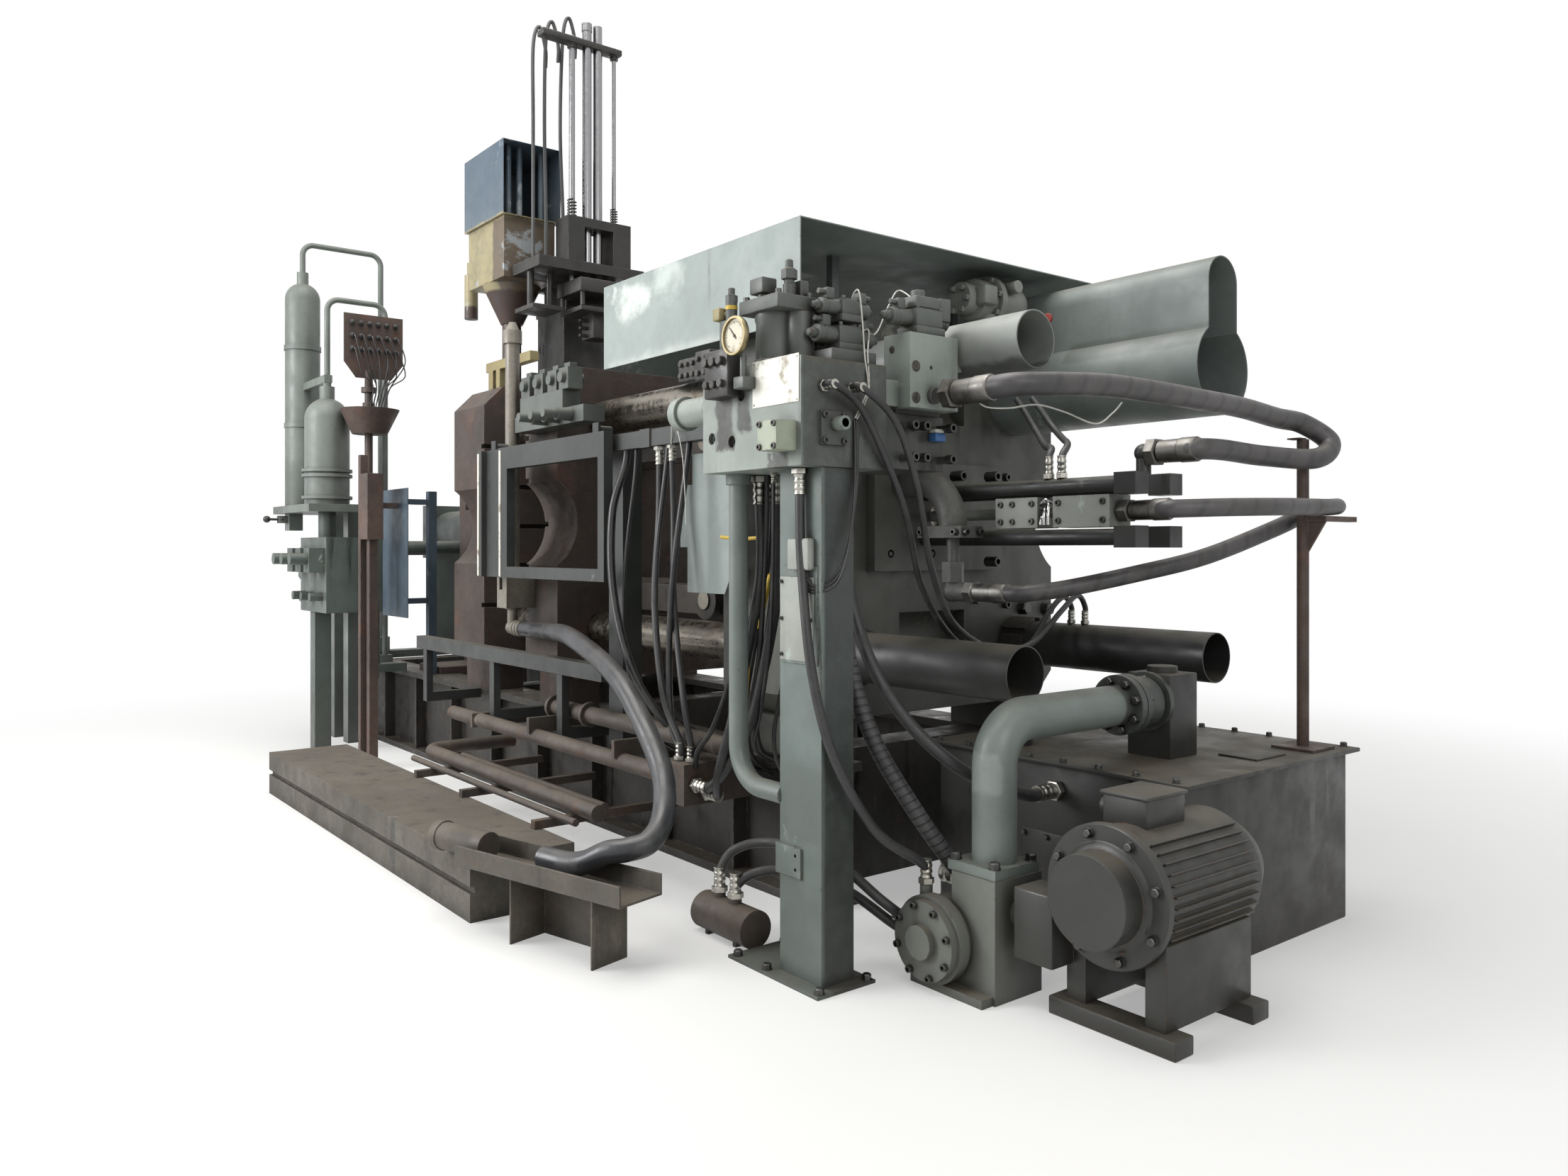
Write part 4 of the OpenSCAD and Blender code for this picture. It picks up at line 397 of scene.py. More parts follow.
dark_paint = worn_paint("dark_paint", (52, 54, 52), (37, 39, 38), scuff=(92, 95, 91), scuffed=0.35,
                        oily=0.5, chipped=0.55, dusty=0.7, corner_shade_and_low_darkening=0.6, shine=0.42)
guard_paint = worn_paint("guard_paint", (56, 60, 58), (42, 45, 44), scuff=(104, 108, 104), scuffed=0.35,
                         oily=0.4, chipped=0.6, dusty=0.5, corner_shade_and_low_darkening=0.5)
prefill_paint = worn_paint("prefill_paint", (150, 154, 148), (122, 127, 121), scuffed=0.4, oily=0.5,
                           chipped=0.4, dusty=0.7, corner_shade_and_low_darkening=0.7)
tube_paint = worn_paint(
    "tube_paint", (146, 150, 146), (116, 121, 118), scuff=(186, 190, 186), scuffed=0.5, oily=0.3,
    chipped=0.3, dusty=0.4, corner_shade_and_low_darkening=0.3, patches_of=(
        # painted shade: this row darkens a band along the underside of the near upper cover tube
        ((2.2, -0.8, 2.2), (3.4, -0.4, 2.255), (60, 62, 60), 0.8),))
tank_paint = worn_paint("tank_paint", (43, 45, 43), (30, 32, 30), scuff=(72, 74, 70), scuffed=0.35,
                        oily=0.8, chipped=0.45, dusty=0.9, corner_shade_and_low_darkening=0.8)
print("paints", len([m for m in bpy.data.materials if m.name.endswith("_paint")]))

# %% [markdown]
# ## Bare castings and rusted steel
# The two die platens and the injection frame have lost their paint: heat, die spray and splashed metal left
# brown scale with grey bloom. Casting skin is bumpy at the size of sand grains, so the relief is finer and
# deeper than on paint, and the rust gathers in slow clouds.

# %% Castings and rusted steel
def rusty(name, tone, tone_2, rust, bloom=(120, 114, 104), rusted=0.5, bloomed=0.3, oily=0.4, corner_shade_and_low_darkening=0.6,
          grain=1.0, shine=0.62):
    """Two tones, rust in clouds, dark grain, pale bloom, runs of oil, painted shade in corners, rubbed edges and
    dust; rough and bumpy.
    """
    f = Finish(name)
    colour = f.mix(f.band(f.noise(1.6, 7, 0.65), 0.36, 0.64), tone, tone_2)
    clouds = f.band(f.noise(4.2, 9, 0.7, twist=0.3), 0.62 - 0.22 * rusted, 0.80 - 0.22 * rusted)
    colour = f.mix(f.times(clouds, 0.9), colour, rust)
    fine = f.band(f.noise(38, 6, 0.75), 0.42, 0.66)
    colour = f.mix(f.times(fine, 0.45), colour, darker(tone, 0.45))
    pale = f.band(f.noise(6.5, 8, 0.68, (1, 1, 0.45)), 0.70 - 0.14 * bloomed, 0.82 - 0.14 * bloomed)
    colour = f.mix(f.times(pale, 0.6), colour, bloom)
    runs = f.band(f.noise(9, 5, 0.6, (1, 1, 0.09)), 0.66 - 0.14 * oily, 0.80 - 0.14 * oily)
    colour = f.mix(f.times(runs, 0.75), colour, (30, 28, 26))
    # painted shade: corners and gaps that little light reaches are darkened
    colour = f.mix(f.times(f.corners(0.14), corner_shade_and_low_darkening), colour, (30, 27, 24))
    rub = f.times(f.edges(0.010), f.band(f.noise(20, 5), 0.42, 0.62))
    colour = f.mix(f.times(rub, 0.6), colour, (120, 112, 102))
    dust = f.times(f.facing_up(), f.band(f.noise(5, 6), 0.3, 0.6, 0.3, 0.85))
    colour = f.mix(f.times(dust, 0.55), colour, (92, 84, 72))
    rough = f.band(f.noise(7, 5), 0.3, 0.7, shine - 0.12, shine + 0.18)
    rough = f.maths("SUBTRACT", rough, f.times(runs, 0.28))
    relief = f.maths("ADD", f.times(f.noise(95, 5, 0.6), 0.8), f.times(f.noise(14, 4), 0.5))
    return f.end(colour, rough, relief, 0.0022 * grain, soft_edge=0.005)


brown_casting = rusty("brown_casting", (76, 64, 58), (56, 49, 45), (88, 62, 52), rusted=0.45,
                      bloomed=0.35)
link_casting = rusty("link_casting", (68, 62, 56), (48, 45, 42), (78, 60, 48), rusted=0.3, oily=0.75)
rust_pipe = rusty("rust_pipe", (88, 78, 70), (62, 56, 51), (92, 68, 52), rusted=0.45, bloomed=0.6,
                  grain=0.6)
rust_sheet = rusty("rust_sheet", (84, 68, 60), (62, 52, 48), (94, 64, 54), rusted=0.5, bloomed=0.4,
                   grain=0.5)
dark_iron = rusty("dark_iron", (52, 50, 47), (35, 35, 34), (64, 52, 43), bloom=(90, 88, 82),
                  rusted=0.25, bloomed=0.4, oily=0.7, grain=0.8, shine=0.5)
bed_iron = rusty("bed_iron", (58, 55, 50), (38, 37, 35), (72, 57, 47), bloom=(98, 93, 84),
                 rusted=0.3, bloomed=0.5, oily=0.8, corner_shade_and_low_darkening=0.8, shine=0.55)
grey_iron = rusty("grey_iron", (94, 95, 91), (66, 67, 65), (80, 68, 57), bloom=(132, 131, 124),
                  rusted=0.2, bloomed=0.5, oily=0.6, grain=0.9, shine=0.55)
pale_pipe = rusty("pale_oiled_pipe", (136, 131, 120), (104, 98, 88), (92, 76, 60),
                  bloom=(168, 164, 152), rusted=0.35, bloomed=0.4, oily=0.75, grain=0.4, shine=0.45)
trough_sheet = rusty("trough_sheet", (98, 92, 82), (70, 66, 60), (88, 68, 54), rusted=0.35,
                     bloomed=0.7, oily=0.6, grain=0.4)
concrete = rusty("stained_concrete", (98, 94, 86), (76, 72, 66), (66, 58, 50), bloom=(140, 136, 126),
                 rusted=0.3, bloomed=0.6, oily=0.8, corner_shade_and_low_darkening=0.8, grain=1.6, shine=0.8)
print("finishes so far", len(bpy.data.materials))

# %% [markdown]
# ## Bright steel and chrome
# Tie bars and lift tubes are ground and chromed; oil leaves them brownish in streaks. A metal's colour goes
# into its base colour with Metallic at 1. Streaks change that colour and the roughness, never the metal itself.

# %% Bright steel and chrome
def bright(name, tone, stain, rough_low, rough_high, stained=0.4, stretch=None):
    """Bare metal with smears of a second tone, painted shade in its corners, and a roughness that wanders between two
    values.
    """
    f = Finish(name)
    smear = f.band(f.noise(5, 7, 0.65, stretch), 0.62 - 0.2 * stained, 0.86 - 0.2 * stained)
    colour = f.mix(f.times(smear, 0.8), tone, stain)
    # painted shade: corners and gaps that little light reaches are darkened
    colour = f.mix(f.times(f.corners(0.05), 0.5), colour, (40, 38, 34))
    rough = f.band(f.noise(24, 6, 0.7), 0.3, 0.7, rough_low, rough_high)
    rough = f.maths("ADD", rough, f.times(smear, 0.18))
    return f.end(colour, rough, f.noise(220, 2), 0.0002, soft_edge=0.002, metallic=1.0)


chrome = bright("lift_chrome", (150, 150, 152), (96, 92, 86), 0.16, 0.30, 0.45, (1, 1, 0.12))
pipe_chrome = bright("pipe_chrome", (190, 190, 188), (120, 116, 106), 0.14, 0.28, 0.35)
tie_steel = bright("tie_bar_steel", (150, 144, 134), (92, 78, 62), 0.20, 0.42, 0.7)
zinc = bright("zinc_fitting", (176, 174, 166), (110, 100, 82), 0.24, 0.42, 0.5)
black_screw = bright("blacked_screw", (86, 86, 84), (52, 48, 44), 0.34, 0.55, 0.5)
brass = bright("dull_brass", (142, 131, 102), (88, 78, 58), 0.28, 0.5, 0.5)
dull_sleeve = bright("dull_sleeve", (122, 120, 116), (66, 62, 56), 0.36, 0.55, 0.6)
print("finishes so far", len(bpy.data.materials))

# %% [markdown]
# ## Rubber and plastic
# A hose is dusty on top and dark below, and a wrapped one shows the spiral of the cloth that it was cured in. The
# spiral could be cut into the mesh, but a few tenths of a millimetre look the same as relief in the finish.

# %% Rubber and plastic
def rubber(name, tone, dusty=0.5, pitch=0.0, groove=0.002, shine=0.55):
    """Hose rubber. With a pitch, a wrap winds round it: its phase is length over pitch plus the angle round."""
    f = Finish(name)
    colour = f.mix(f.band(f.noise(3, 6), 0.35, 0.65), tone, darker(tone, 0.55))
    dust = f.band(f.noise(7, 8, 0.7), 0.40, 0.75)
    colour = f.mix(f.times(dust, 0.55 * dusty), colour, (112, 110, 106))
    top = f.facing_up()
    colour = f.mix(f.times(top, 0.45 * dusty), colour, (122, 118, 112))
    relief = f.times(f.noise(130, 4), 0.3)
    if pitch:
        ring = f.add("ShaderNodeAttribute", attribute_name="ring").outputs["Vector"]
        part = f.add("ShaderNodeSeparateXYZ", {"Vector": ring})
        turn = f.maths("ARCTAN2", part.outputs["Y"], part.outputs["X"])
        phase = f.maths("ADD", f.times(part.outputs["Z"], 2 * math.pi / pitch), turn)
        wave = f.maths("SINE", phase)
        rib = f.band(wave, -0.95, -0.55)
        relief = f.maths("ADD", relief, rib)
        dark = f.times(f.maths("SUBTRACT", 1.0, rib), 0.9 if pitch < 0.05 else 0.28)
        colour = f.mix(dark, colour, (34, 33, 33))
    rough = f.band(dust, 0.0, 1.0, shine - 0.1, shine + 0.2)
    return f.end(colour, rough, relief, groove)


hose_rubber = rubber("wrapped_hose_rubber", (82, 80, 82), 0.9, pitch=0.11, groove=0.0004)
dark_rubber = rubber("dark_hose_rubber", (44, 44, 45), 0.4)
guard_rubber = rubber("spiral_guard_rubber", (58, 58, 60), 0.6, pitch=0.030, groove=0.005)
drain_rubber = rubber("drain_hose_rubber", (58, 60, 64), 0.45, shine=0.42)
cable_skin = rubber("cable_skin", (30, 30, 31), 0.3, shine=0.45)
grey_hose = rubber("grey_hose_rubber", (70, 72, 72), 0.4)


def plastic(name, tone, stain, shine=0.5, stained=0.4):
    """One tone with stains in clouds, and the same stain colour as painted shade in its corners."""
    f = Finish(name)
    colour = f.mix(f.band(f.noise(14, 6), 0.66 - 0.2 * stained, 0.84 - 0.2 * stained), tone, stain)
    # painted shade: corners and gaps are darkened with the stain colour
    colour = f.mix(f.times(f.corners(0.03), 0.6), colour, stain)
    return f.end(colour, shine, f.noise(150, 3), 0.0004, soft_edge=0.0015)


white_plate = plastic("bare_white_plate", (226, 226, 218), (150, 142, 124), 0.5, 0.55)
dial_face = plastic("dial_face", (206, 202, 182), (140, 124, 92), 0.3, 0.6)
dial_ink = plastic("dial_ink", (24, 24, 24), (40, 36, 30))
white_cable = plastic("white_cable", (196, 196, 190), (130, 124, 112), 0.5, 0.5)
white_edge = plastic("white_edge_paint", (206, 204, 194), (120, 106, 88), 0.55, 0.7)
yellow_sleeve = plastic("yellow_sleeve", (196, 166, 60), (110, 92, 50), 0.5, 0.4)
blue_plug = plastic("blue_plug", (56, 98, 150), (40, 50, 66), 0.4, 0.3)
red_cap = plastic("red_cap", (150, 48, 38), (70, 34, 28), 0.45, 0.4)
print("finishes", len(bpy.data.materials))

# %% [markdown]
# ## Finishes for the solids that stay
# Most solids of the CAD model already have the real piece's shape and only need a finish. Those that are replaced
# further down, such as the hoses, the tank and the motor, aren't in this list.

# %% Give the CAD nodes that stay their finish
finish_of = {
    "near_bed_beam": bed_iron, "far_bed_beam": bed_iron, "bed_cross_members": bed_iron,
    "rear_platen": platen_paint, "moving_platen": brown_casting, "fixed_platen": brown_casting,
    "tie_bars": tie_steel, "tie_bar_nuts": dark_iron, "rear_links": link_casting, "front_links": link_casting,
    "toggle_pins": tie_steel, "crosshead": link_casting, "crosshead_guides": tie_steel,
    "top_hood": hood_paint, "ram_rods": dark_paint, "ram_blocks": pale_paint,
    "manifold_column": column_paint, "near_manifold": block_paint, "riser_pipe": grey_iron,
    "green_pipe": pipe_paint, "hose_stand": rust_sheet, "drain_pipe": pale_pipe, "drain_trough": trough_sheet,
    "lower_pipes": rust_pipe, "suction_pipe": pipe_paint, "pump": pump_paint,
    "shot_frame": brown_casting, "shot_cylinder": injection_paint,
    "accumulators": bottle_paint, "accumulator_pipes": bottle_paint, "injection_valves": injection_paint,
    "valve_lever": dark_paint, "wire_plate_post": rust_sheet, "junction_boxes": rust_sheet,
    "side_panel": blue_paint, "core_valves": valve_paint, "yellow_bracket": yellow_paint,
    "lift_base": dark_iron, "lift_tower": tower_paint, "guard_rail": guard_paint,
    "guard_frame": guard_paint, "side_guard": hood_paint, "plinth": concrete,
}
for name, finish in finish_of.items():
    mesh = nodes[name].data
    mesh.materials.clear()
    mesh.materials.append(finish)
print("dressed", len(finish_of), "of", len(nodes))

# %% [markdown]
# ## Making surfaces from arrays
# Every new piece is a grid of points worked out with numpy. A lathe turns a profile round an axis, a tube
# carries a circle along a path, and a soft box is a stretched ball whose corners stay round. Measures are in
# millimetres, as in the CAD source, and become metres when the mesh is made.

# %% Grids and lathes
MM = 0.001


def unit(v):
    """Each vector divided by its length."""
    v = np.asarray(v, float)
    return v / np.linalg.norm(v, axis=-1, keepdims=True)


def grid_faces(rows, cols, wrap_rows=False):
    """Quads between neighbouring points of a grid whose last column meets the first."""
    i, j = np.meshgrid(np.arange(rows if wrap_rows else rows - 1), np.arange(cols), indexing="ij")
    i2, j2 = (i + 1) % rows, (j + 1) % cols
    return np.stack([i * cols + j, i * cols + j2, i2 * cols + j2, i2 * cols + j], -1).reshape(-1, 4)


def lathe(profile, sides=24, ring=False, six=()):
    """Turns a profile of (radius, height) rows round Z; the rows in six follow a hexagon of that inner radius."""
    p = np.asarray(profile, float)
    a = np.arange(sides) * 2 * np.pi / sides
    r = np.repeat(p[:, :1], sides, 1)
    hexagon = 1 / np.cos((a + np.pi / 6) % (np.pi / 3) - np.pi / 6)
    for row in six:
        r[row] *= hexagon
    v = np.stack([r * np.cos(a), r * np.sin(a), np.repeat(p[:, 1:], sides, 1)], -1).reshape(-1, 3)
    faces = [grid_faces(len(p), sides, ring)]
    if not ring:
        faces.append(np.arange(sides)[::-1][None])
        faces.append((np.arange(sides) + (len(p) - 1) * sides)[None])
    return v, faces


print("a lathe of 3 rows and 8 sides has", len(lathe([(2, 0), (2, 1), (1, 2)], 8)[0]), "points")

# %% [markdown]
# ## Soft boxes
# Machined blocks have a small chamfer that catches the light. A Bevel modifier could cut it; here the box is made
# from a ball's grid whose eight parts are pulled apart to the corners, so one line of numpy gives every box.

# %% Soft boxes
def soft_box(low, high, edge=4.0, steps=1):
    """A box with rounded edges: each corner's centre plus edge times the direction of a ball's grid point."""
    low, high = np.minimum(low, high).astype(float), np.maximum(low, high).astype(float)
    half = (high - low) / 2
    edge = min(edge, half.min() * 0.99)
    t = np.linspace(0, np.pi / 2, steps + 1)
    lon = np.concatenate([t + k * np.pi / 2 for k in range(4)])
    quad = np.repeat(np.arange(4), steps + 1)
    lat = np.concatenate([t - np.pi / 2, t])
    up = np.repeat([-1.0, 1.0], steps + 1)
    sx = np.array([1, -1, -1, 1.0])[quad]
    sy = np.array([1, 1, -1, -1.0])[quad]
    d = np.stack([np.outer(np.cos(lat), np.cos(lon)), np.outer(np.cos(lat), np.sin(lon)),
                  np.repeat(np.sin(lat)[:, None], len(lon), 1)], -1)
    s = np.stack([np.repeat(sx[None], len(lat), 0), np.repeat(sy[None], len(lat), 0),
                  np.repeat(up[:, None], len(lon), 1)], -1)
    v = ((low + high) / 2 + s * (half - edge) + edge * d).reshape(-1, 3)
    n = len(lon)
    return v, [grid_faces(len(lat), n), np.arange(n)[::-1][None], (np.arange(n) + (len(lat) - 1) * n)[None]]


print("a soft box has", len(soft_box([0, 0, 0], [9, 9, 9], 2, 2)[0]), "points")

# %% [markdown]
# ## Curves and tubes
# A hose follows a smooth curve through the points where it was seen in the photo. A curve object with a bevel
# would do too, but a mesh tube keeps the angle and the length at each point, which the wrapped rubber needs.

# %% Curves and tubes
def curve(points, steps):
    """The smooth Catmull-Rom curve: between b and c it's a cubic whose slope at each is half the gap of its
    two neighbours, so it passes through every point."""
    p = np.asarray(points, float)
    a, b = p[np.maximum(np.arange(len(p) - 1) - 1, 0)], p[:-1]
    c, d = p[1:], p[np.minimum(np.arange(len(p) - 1) + 2, len(p) - 1)]
    t = (np.arange(steps) / steps)[None, :, None]
    a, b, c, d = (q[:, None] for q in (a, b, c, d))
    q = 0.5 * (2 * b + (c - a) * t + (2 * a - 5 * b + 4 * c - d) * t ** 2 + (3 * b - a - 3 * c + d) * t ** 3)
    return np.concatenate([q.reshape(-1, 3), p[-1:]])


def tube(path, diameter, sides=16, ends=None):
    """A circle carried along a path; the side direction turns as little as possible from ring to ring."""
    path = np.asarray(path, float)
    ahead = np.gradient(path, axis=0)
    if ends is not None:
        ahead[0], ahead[-1] = ends
    ahead = unit(ahead)
    side = np.zeros_like(path)
    first = np.cross(ahead[0], [0.31, 0.17, 0.93] if abs(ahead[0][2]) < 0.8 else [0.93, 0.31, 0.17])
    side[0] = unit(first)
    for k in range(1, len(path)):
        side[k] = unit(side[k - 1] - ahead[k] * np.dot(side[k - 1], ahead[k]))
    other = np.cross(ahead, side)
    a = np.arange(sides) * 2 * np.pi / sides
    r = np.broadcast_to(np.asarray(diameter, float) / 2, (len(path),))[:, None, None]
    v = path[:, None] + r * (np.cos(a)[None, :, None] * side[:, None] + np.sin(a)[None, :, None] * other[:, None])
    length = np.concatenate([[0], np.cumsum(np.linalg.norm(np.diff(path, axis=0), axis=1))])
    ring = np.stack([np.repeat(np.cos(a)[None], len(path), 0), np.repeat(np.sin(a)[None], len(path), 0),
                     np.repeat(length[:, None] * MM, sides, 1)], -1).reshape(-1, 3)
    n = len(path)
    faces = [grid_faces(n, sides), np.arange(sides)[::-1][None], (np.arange(sides) + (n - 1) * sides)[None]]
    return v.reshape(-1, 3), faces, ring


print("a tube along 3 points has", len(tube([(0, 0, 0), (0, 0, 9), (0, 3, 18)], 2, 8)[0]), "points")

# %% [markdown]
# ## Placing, bars and pipes
# Shapes are made upright at the origin and then turned onto their axis as arrays, so each object itself stays
# unturned at the origin. A bar or a pipe is a lathe placed between two points.

# %% Placing, bars and pipes
RIGHT, FRONT, BACK, UP, DOWN = (1, 0, 0), (0, -1, 0), (0, 1, 0), (0, 0, 1), (0, 0, -1)


def place(shape, at, axis=UP, turn=0.0):
    """The shape with its Z turned onto axis and its origin moved to at."""
    d = unit(axis)
    u = unit(np.cross([1.0, 0, 0] if abs(d[0]) < 0.9 else [0, 1.0, 0], d))
    w = np.cross(d, u)
    c, s = math.cos(turn), math.sin(turn)
    rows = np.stack([c * u + s * w, -s * u + c * w, d])
    return shape[0] @ rows + np.asarray(at, float), shape[1]


def rod(start, end, d, rim=2.0, sides=28):
    """A round bar from point to point, its rims turned off."""
    start, end = np.asarray(start, float), np.asarray(end, float)
    n, r = np.linalg.norm(end - start), d / 2
    rim = min(rim, r * 0.3, n * 0.3)
    return place(lathe([(r - rim, 0), (r, rim), (r, n - rim), (r - rim, n)], sides), start, end - start)


def pipe(start, end, d, wall, sides=64):
    """An open tube: up the outside, over the rim and down the inside."""
    start, end = np.asarray(start, float), np.asarray(end, float)
    n, r = np.linalg.norm(end - start), d / 2
    return place(lathe([(r, 0), (r, n - 1), (r - 1, n), (r - wall, n), (r - wall, 0)], sides, ring=True), start,
                 end - start)


print("a bar has", len(rod((0, 0, 0), (0, 0, 9), 4)[0]), "points")

# %% [markdown]
# ## From shapes to pieces
# A piece on the machine is often many shapes: a row of screws, a set of hoses. They are joined into one mesh,
# which is shaded smooth with sharp creases, given its finish and put on the body that it moves with.

# %% From shapes to pieces
def join(shapes):
    """Several shapes as one, with their faces counted on."""
    v, faces, rings, count = [], [], [], 0
    for s in shapes:
        v.append(s[0])
        faces += [f + count for f in s[1]]
        rings.append(s[2] if len(s) > 2 else np.zeros_like(s[0]))
        count += len(s[0])
    return np.concatenate(v), faces, np.concatenate(rings)


def show(name, shapes, finish, body="machine", crease=36, replaces=()):
    """Makes the mesh in metres, smooth except at creases sharper than the given angle, and puts it on its body."""
    v, faces, ring = join(shapes if isinstance(shapes, list) else [shapes])
    mesh = bpy.data.meshes.new(name)
    sizes = np.concatenate([np.full(len(f), f.shape[1]) for f in faces])
    loops = np.concatenate([f.reshape(-1) for f in faces])
    mesh.vertices.add(len(v))
    mesh.vertices.foreach_set("co", (v * MM).astype(np.float32).ravel())
    mesh.loops.add(len(loops))
    mesh.loops.foreach_set("vertex_index", loops.astype(np.int32))
    mesh.polygons.add(len(sizes))
    mesh.polygons.foreach_set("loop_start", np.concatenate([[0], np.cumsum(sizes)[:-1]]).astype(np.int32))
    mesh.update(calc_edges=True)
    mesh.validate()
    if len(ring) == len(mesh.vertices) and ring.any():
        winding = mesh.attributes.new("ring", "FLOAT_VECTOR", "POINT")
        winding.data.foreach_set("vector", ring.astype(np.float32).ravel())
    mesh.polygons.foreach_set("use_smooth", np.ones(len(mesh.polygons), bool))
    mesh.set_sharp_from_angle(angle=math.radians(crease))
    mesh.materials.append(finish)
    piece = bpy.data.objects.new(name, mesh)
    scene.collection.objects.link(piece)
    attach(piece, body)
    if replaces:
        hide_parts(*replaces)
    made.append((name, len(loops) - 2 * len(sizes)))
    return piece


made = []
print("helpers ready")

# %% [markdown]
# ## The floor
# A pale even floor shows how the machine stands. Further out it fades into the white background: its shader
# turns into plain white light there, but only for what looks at it straight or in a reflection.

# %% Floor
floor_mesh = bpy.data.meshes.new("floor")
floor_mesh.from_pydata([(-40, -40, 0), (40, -40, 0), (40, 40, 0), (-40, 40, 0)], [], [(0, 1, 2, 3)])
floor = bpy.data.objects.new("floor", floor_mesh)
f = Finish("pale_floor")
floor_tone = f.mix(f.noise(0.7, 5), (232, 232, 229), (222, 222, 219))
f.end(floor_tone, 0.85)
far = f.add("ShaderNodeVectorMath", {0: f.place}, operation="LENGTH").outputs["Value"]
glow = f.add("ShaderNodeEmission", {"Color": (1, 1, 1, 1), "Strength": 1.0})
seen_by = f.add("ShaderNodeLightPath").outputs
straight = f.either(seen_by["Is Camera Ray"], seen_by["Is Glossy Ray"])
straight = f.either(straight, seen_by["Is Transmission Ray"])
fade = f.times(f.band(far, 3.2, 8.0, 0.35, 1.0), straight)
both = f.add("ShaderNodeMixShader", {0: fade})
f.tree.links.new(f.shader.outputs[0], both.inputs[1])
f.tree.links.new(glow.outputs[0], both.inputs[2])
f.tree.links.new(both.outputs[0], f.tree.nodes["Material Output"].inputs["Surface"])
floor_mesh.materials.append(f.material)
scene.collection.objects.link(floor)
print("floor 80 m wide")

# %% [markdown]
# ## Hoses
# The big hoses are the first thing one sees. Most of their routes are those of the CAD source, with finer rings
# and rounder sections; the upper big one and the second valve hose follow the photo a little closer. The wrap is
# drawn by the finish, which reads each point's angle and length from the mesh.

# %% Hoses
COLUMN_TOP = 1839.7
TANK_Y = -300.3
column_routes = [
    (35, [[2870, -1390, COLUMN_TOP], [2870, -1390, 1760], [2885, -1395, 1500], [2950, -1400, 1120],
          [3000, -1340, 820], [3060, -1200, 560], [3108, -1040, 440], [3110, -1000, 400], [3110, -1000, 350]]),
    (50, [[2700, -1095, COLUMN_TOP], [2700, -1095, 1760], [2720, -1060, 1500], [2820, -1020, 1150],
          [2950, -930, 900], [3100, -780, 720], [3140, -500, 610], [3140, -400, 600], [3140, TANK_Y, 600]]),
    (42, [[2490, -1200, COLUMN_TOP], [2490, -1200, 1740], [2470, -1200, 1340], [2340, -1195, 910],
          [2150, -1190, 650], [1990, -1185, 530], [1890.3, -1185, 530]]),
    (42, [[2440, -1245, COLUMN_TOP], [2440, -1245, 1740], [2440, -1245, 1430], [2290, -1245, 950],
          [2090, -1200, 600], [1980, -1130, 490], [1890.3, -1130, 490]]),
    (32, [[1450, -1090, 2034.7], [1450, -1090, 1960], [1460, -1100, 1700], [1520, -1160, 1300],
          [1640, -1190, 900], [1780, -1190, 700], [1780, -1190, 620.3]]),
    (28, [[1560, -1090, 2034.7], [1560, -1090, 1960], [1570, -1090, 1700], [1640, -1130, 1300],
          [1790, -1180, 900], [1850, -1180, 700], [1850, -1180, 620.3]]),
    (38, [[2230, -1290, 165.3], [2230, -1290, 240], [2280, -1250, 340], [2450, -1180, 390], [2760, -1130, 370],
          [2920, -1040, 250], [2980, -980, 190], [3029.7, -980, 190]]),
    (38, [[2340, -1290, 165.3], [2340, -1290, 210], [2400, -1240, 270], [2520, -1150, 290], [2760, -1080, 260],
          [2930, -980, 150], [2985, -930, 120], [3034, -930, 120]]),
]
pump_route = [[2790, -1150, COLUMN_TOP], [2790, -1150, 1740], [2805, -1150, 1500], [2850, -1145, 1150],
              [2930, -1090, 850], [3040, -990, 600], [3120, -880, 410], [3170, -860, 362], [3219.7, -860, 362]]
valve_routes = [
    [[2970.3, -1370, 2120], [3030, -1370, 2120], [3012, -1230, 2055], [3000, -1110, 1900], [2960, -960, 1690],
     [2820, -730, 1400], [2720, -450, 1180], [2640, -120, 1060], [2580, 190, 1100], [2550, 380, 1250],
     [2526, 520, 1320], [2520, 590, 1270], [2520, 590, 1190]],
    [[2970.3, -1240, 2120], [3030, -1240, 2120], [3040, -1085, 2010], [3020, -960, 1790], [2920, -780, 1480],
     [2820, -550, 1250], [2740, -210, 1120], [2670, 120, 1130], [2630, 370, 1260], [2606, 520, 1330],
     [2600, 590, 1275], [2600, 590, 1190]],
]
rear_routes = [
    [[3224.3, -853.5, 2124], [3290, -853.5, 2124], [3376, -830, 2128], [3431, -720, 2133], [3470, -550, 2142],
     [3493, -400, 2145], [3518, -180, 2139], [3528, 80, 2132], [3537, 360, 2122], [3558, 590, 2096],
     [3600, 731, 2076], [3678, 800, 1996], [3678, 690, 1925], [3575, 480, 1930], [3530, 240, 1945],
     [3500, 115, 1945], [3430.3, 115, 1945]],
    [[3420.3, -60, 1705], [3520, -60, 1706], [3640, 120, 1712], [3690, 450, 1720], [3680, 760, 1725],
     [3640, 940, 1733], [3560, 900, 1720], [3509, 680, 1640], [3364, 380, 1520], [3201, 120, 1447],
     [3030, -110, 1388], [2930, -240, 1368], [2840, -260, 1365], [2780.3, -260, 1365]],
]
drain_route = [[-189.7, -1000, 1083], [-110, -1000, 1083], [0, -1008, 1085], [400, -1120, 1105], [900, -1260, 1110],
               [1470, -1350, 990], [1800, -1400, 820], [2050, -1450, 640], [2200, -1540, 500], [2262, -1640, 430],
               [2230, -1720, 405], [2170, -1770, 390], [2080, -1814, 342], [1990, -1840, 322], [1850, -1880, 322]]


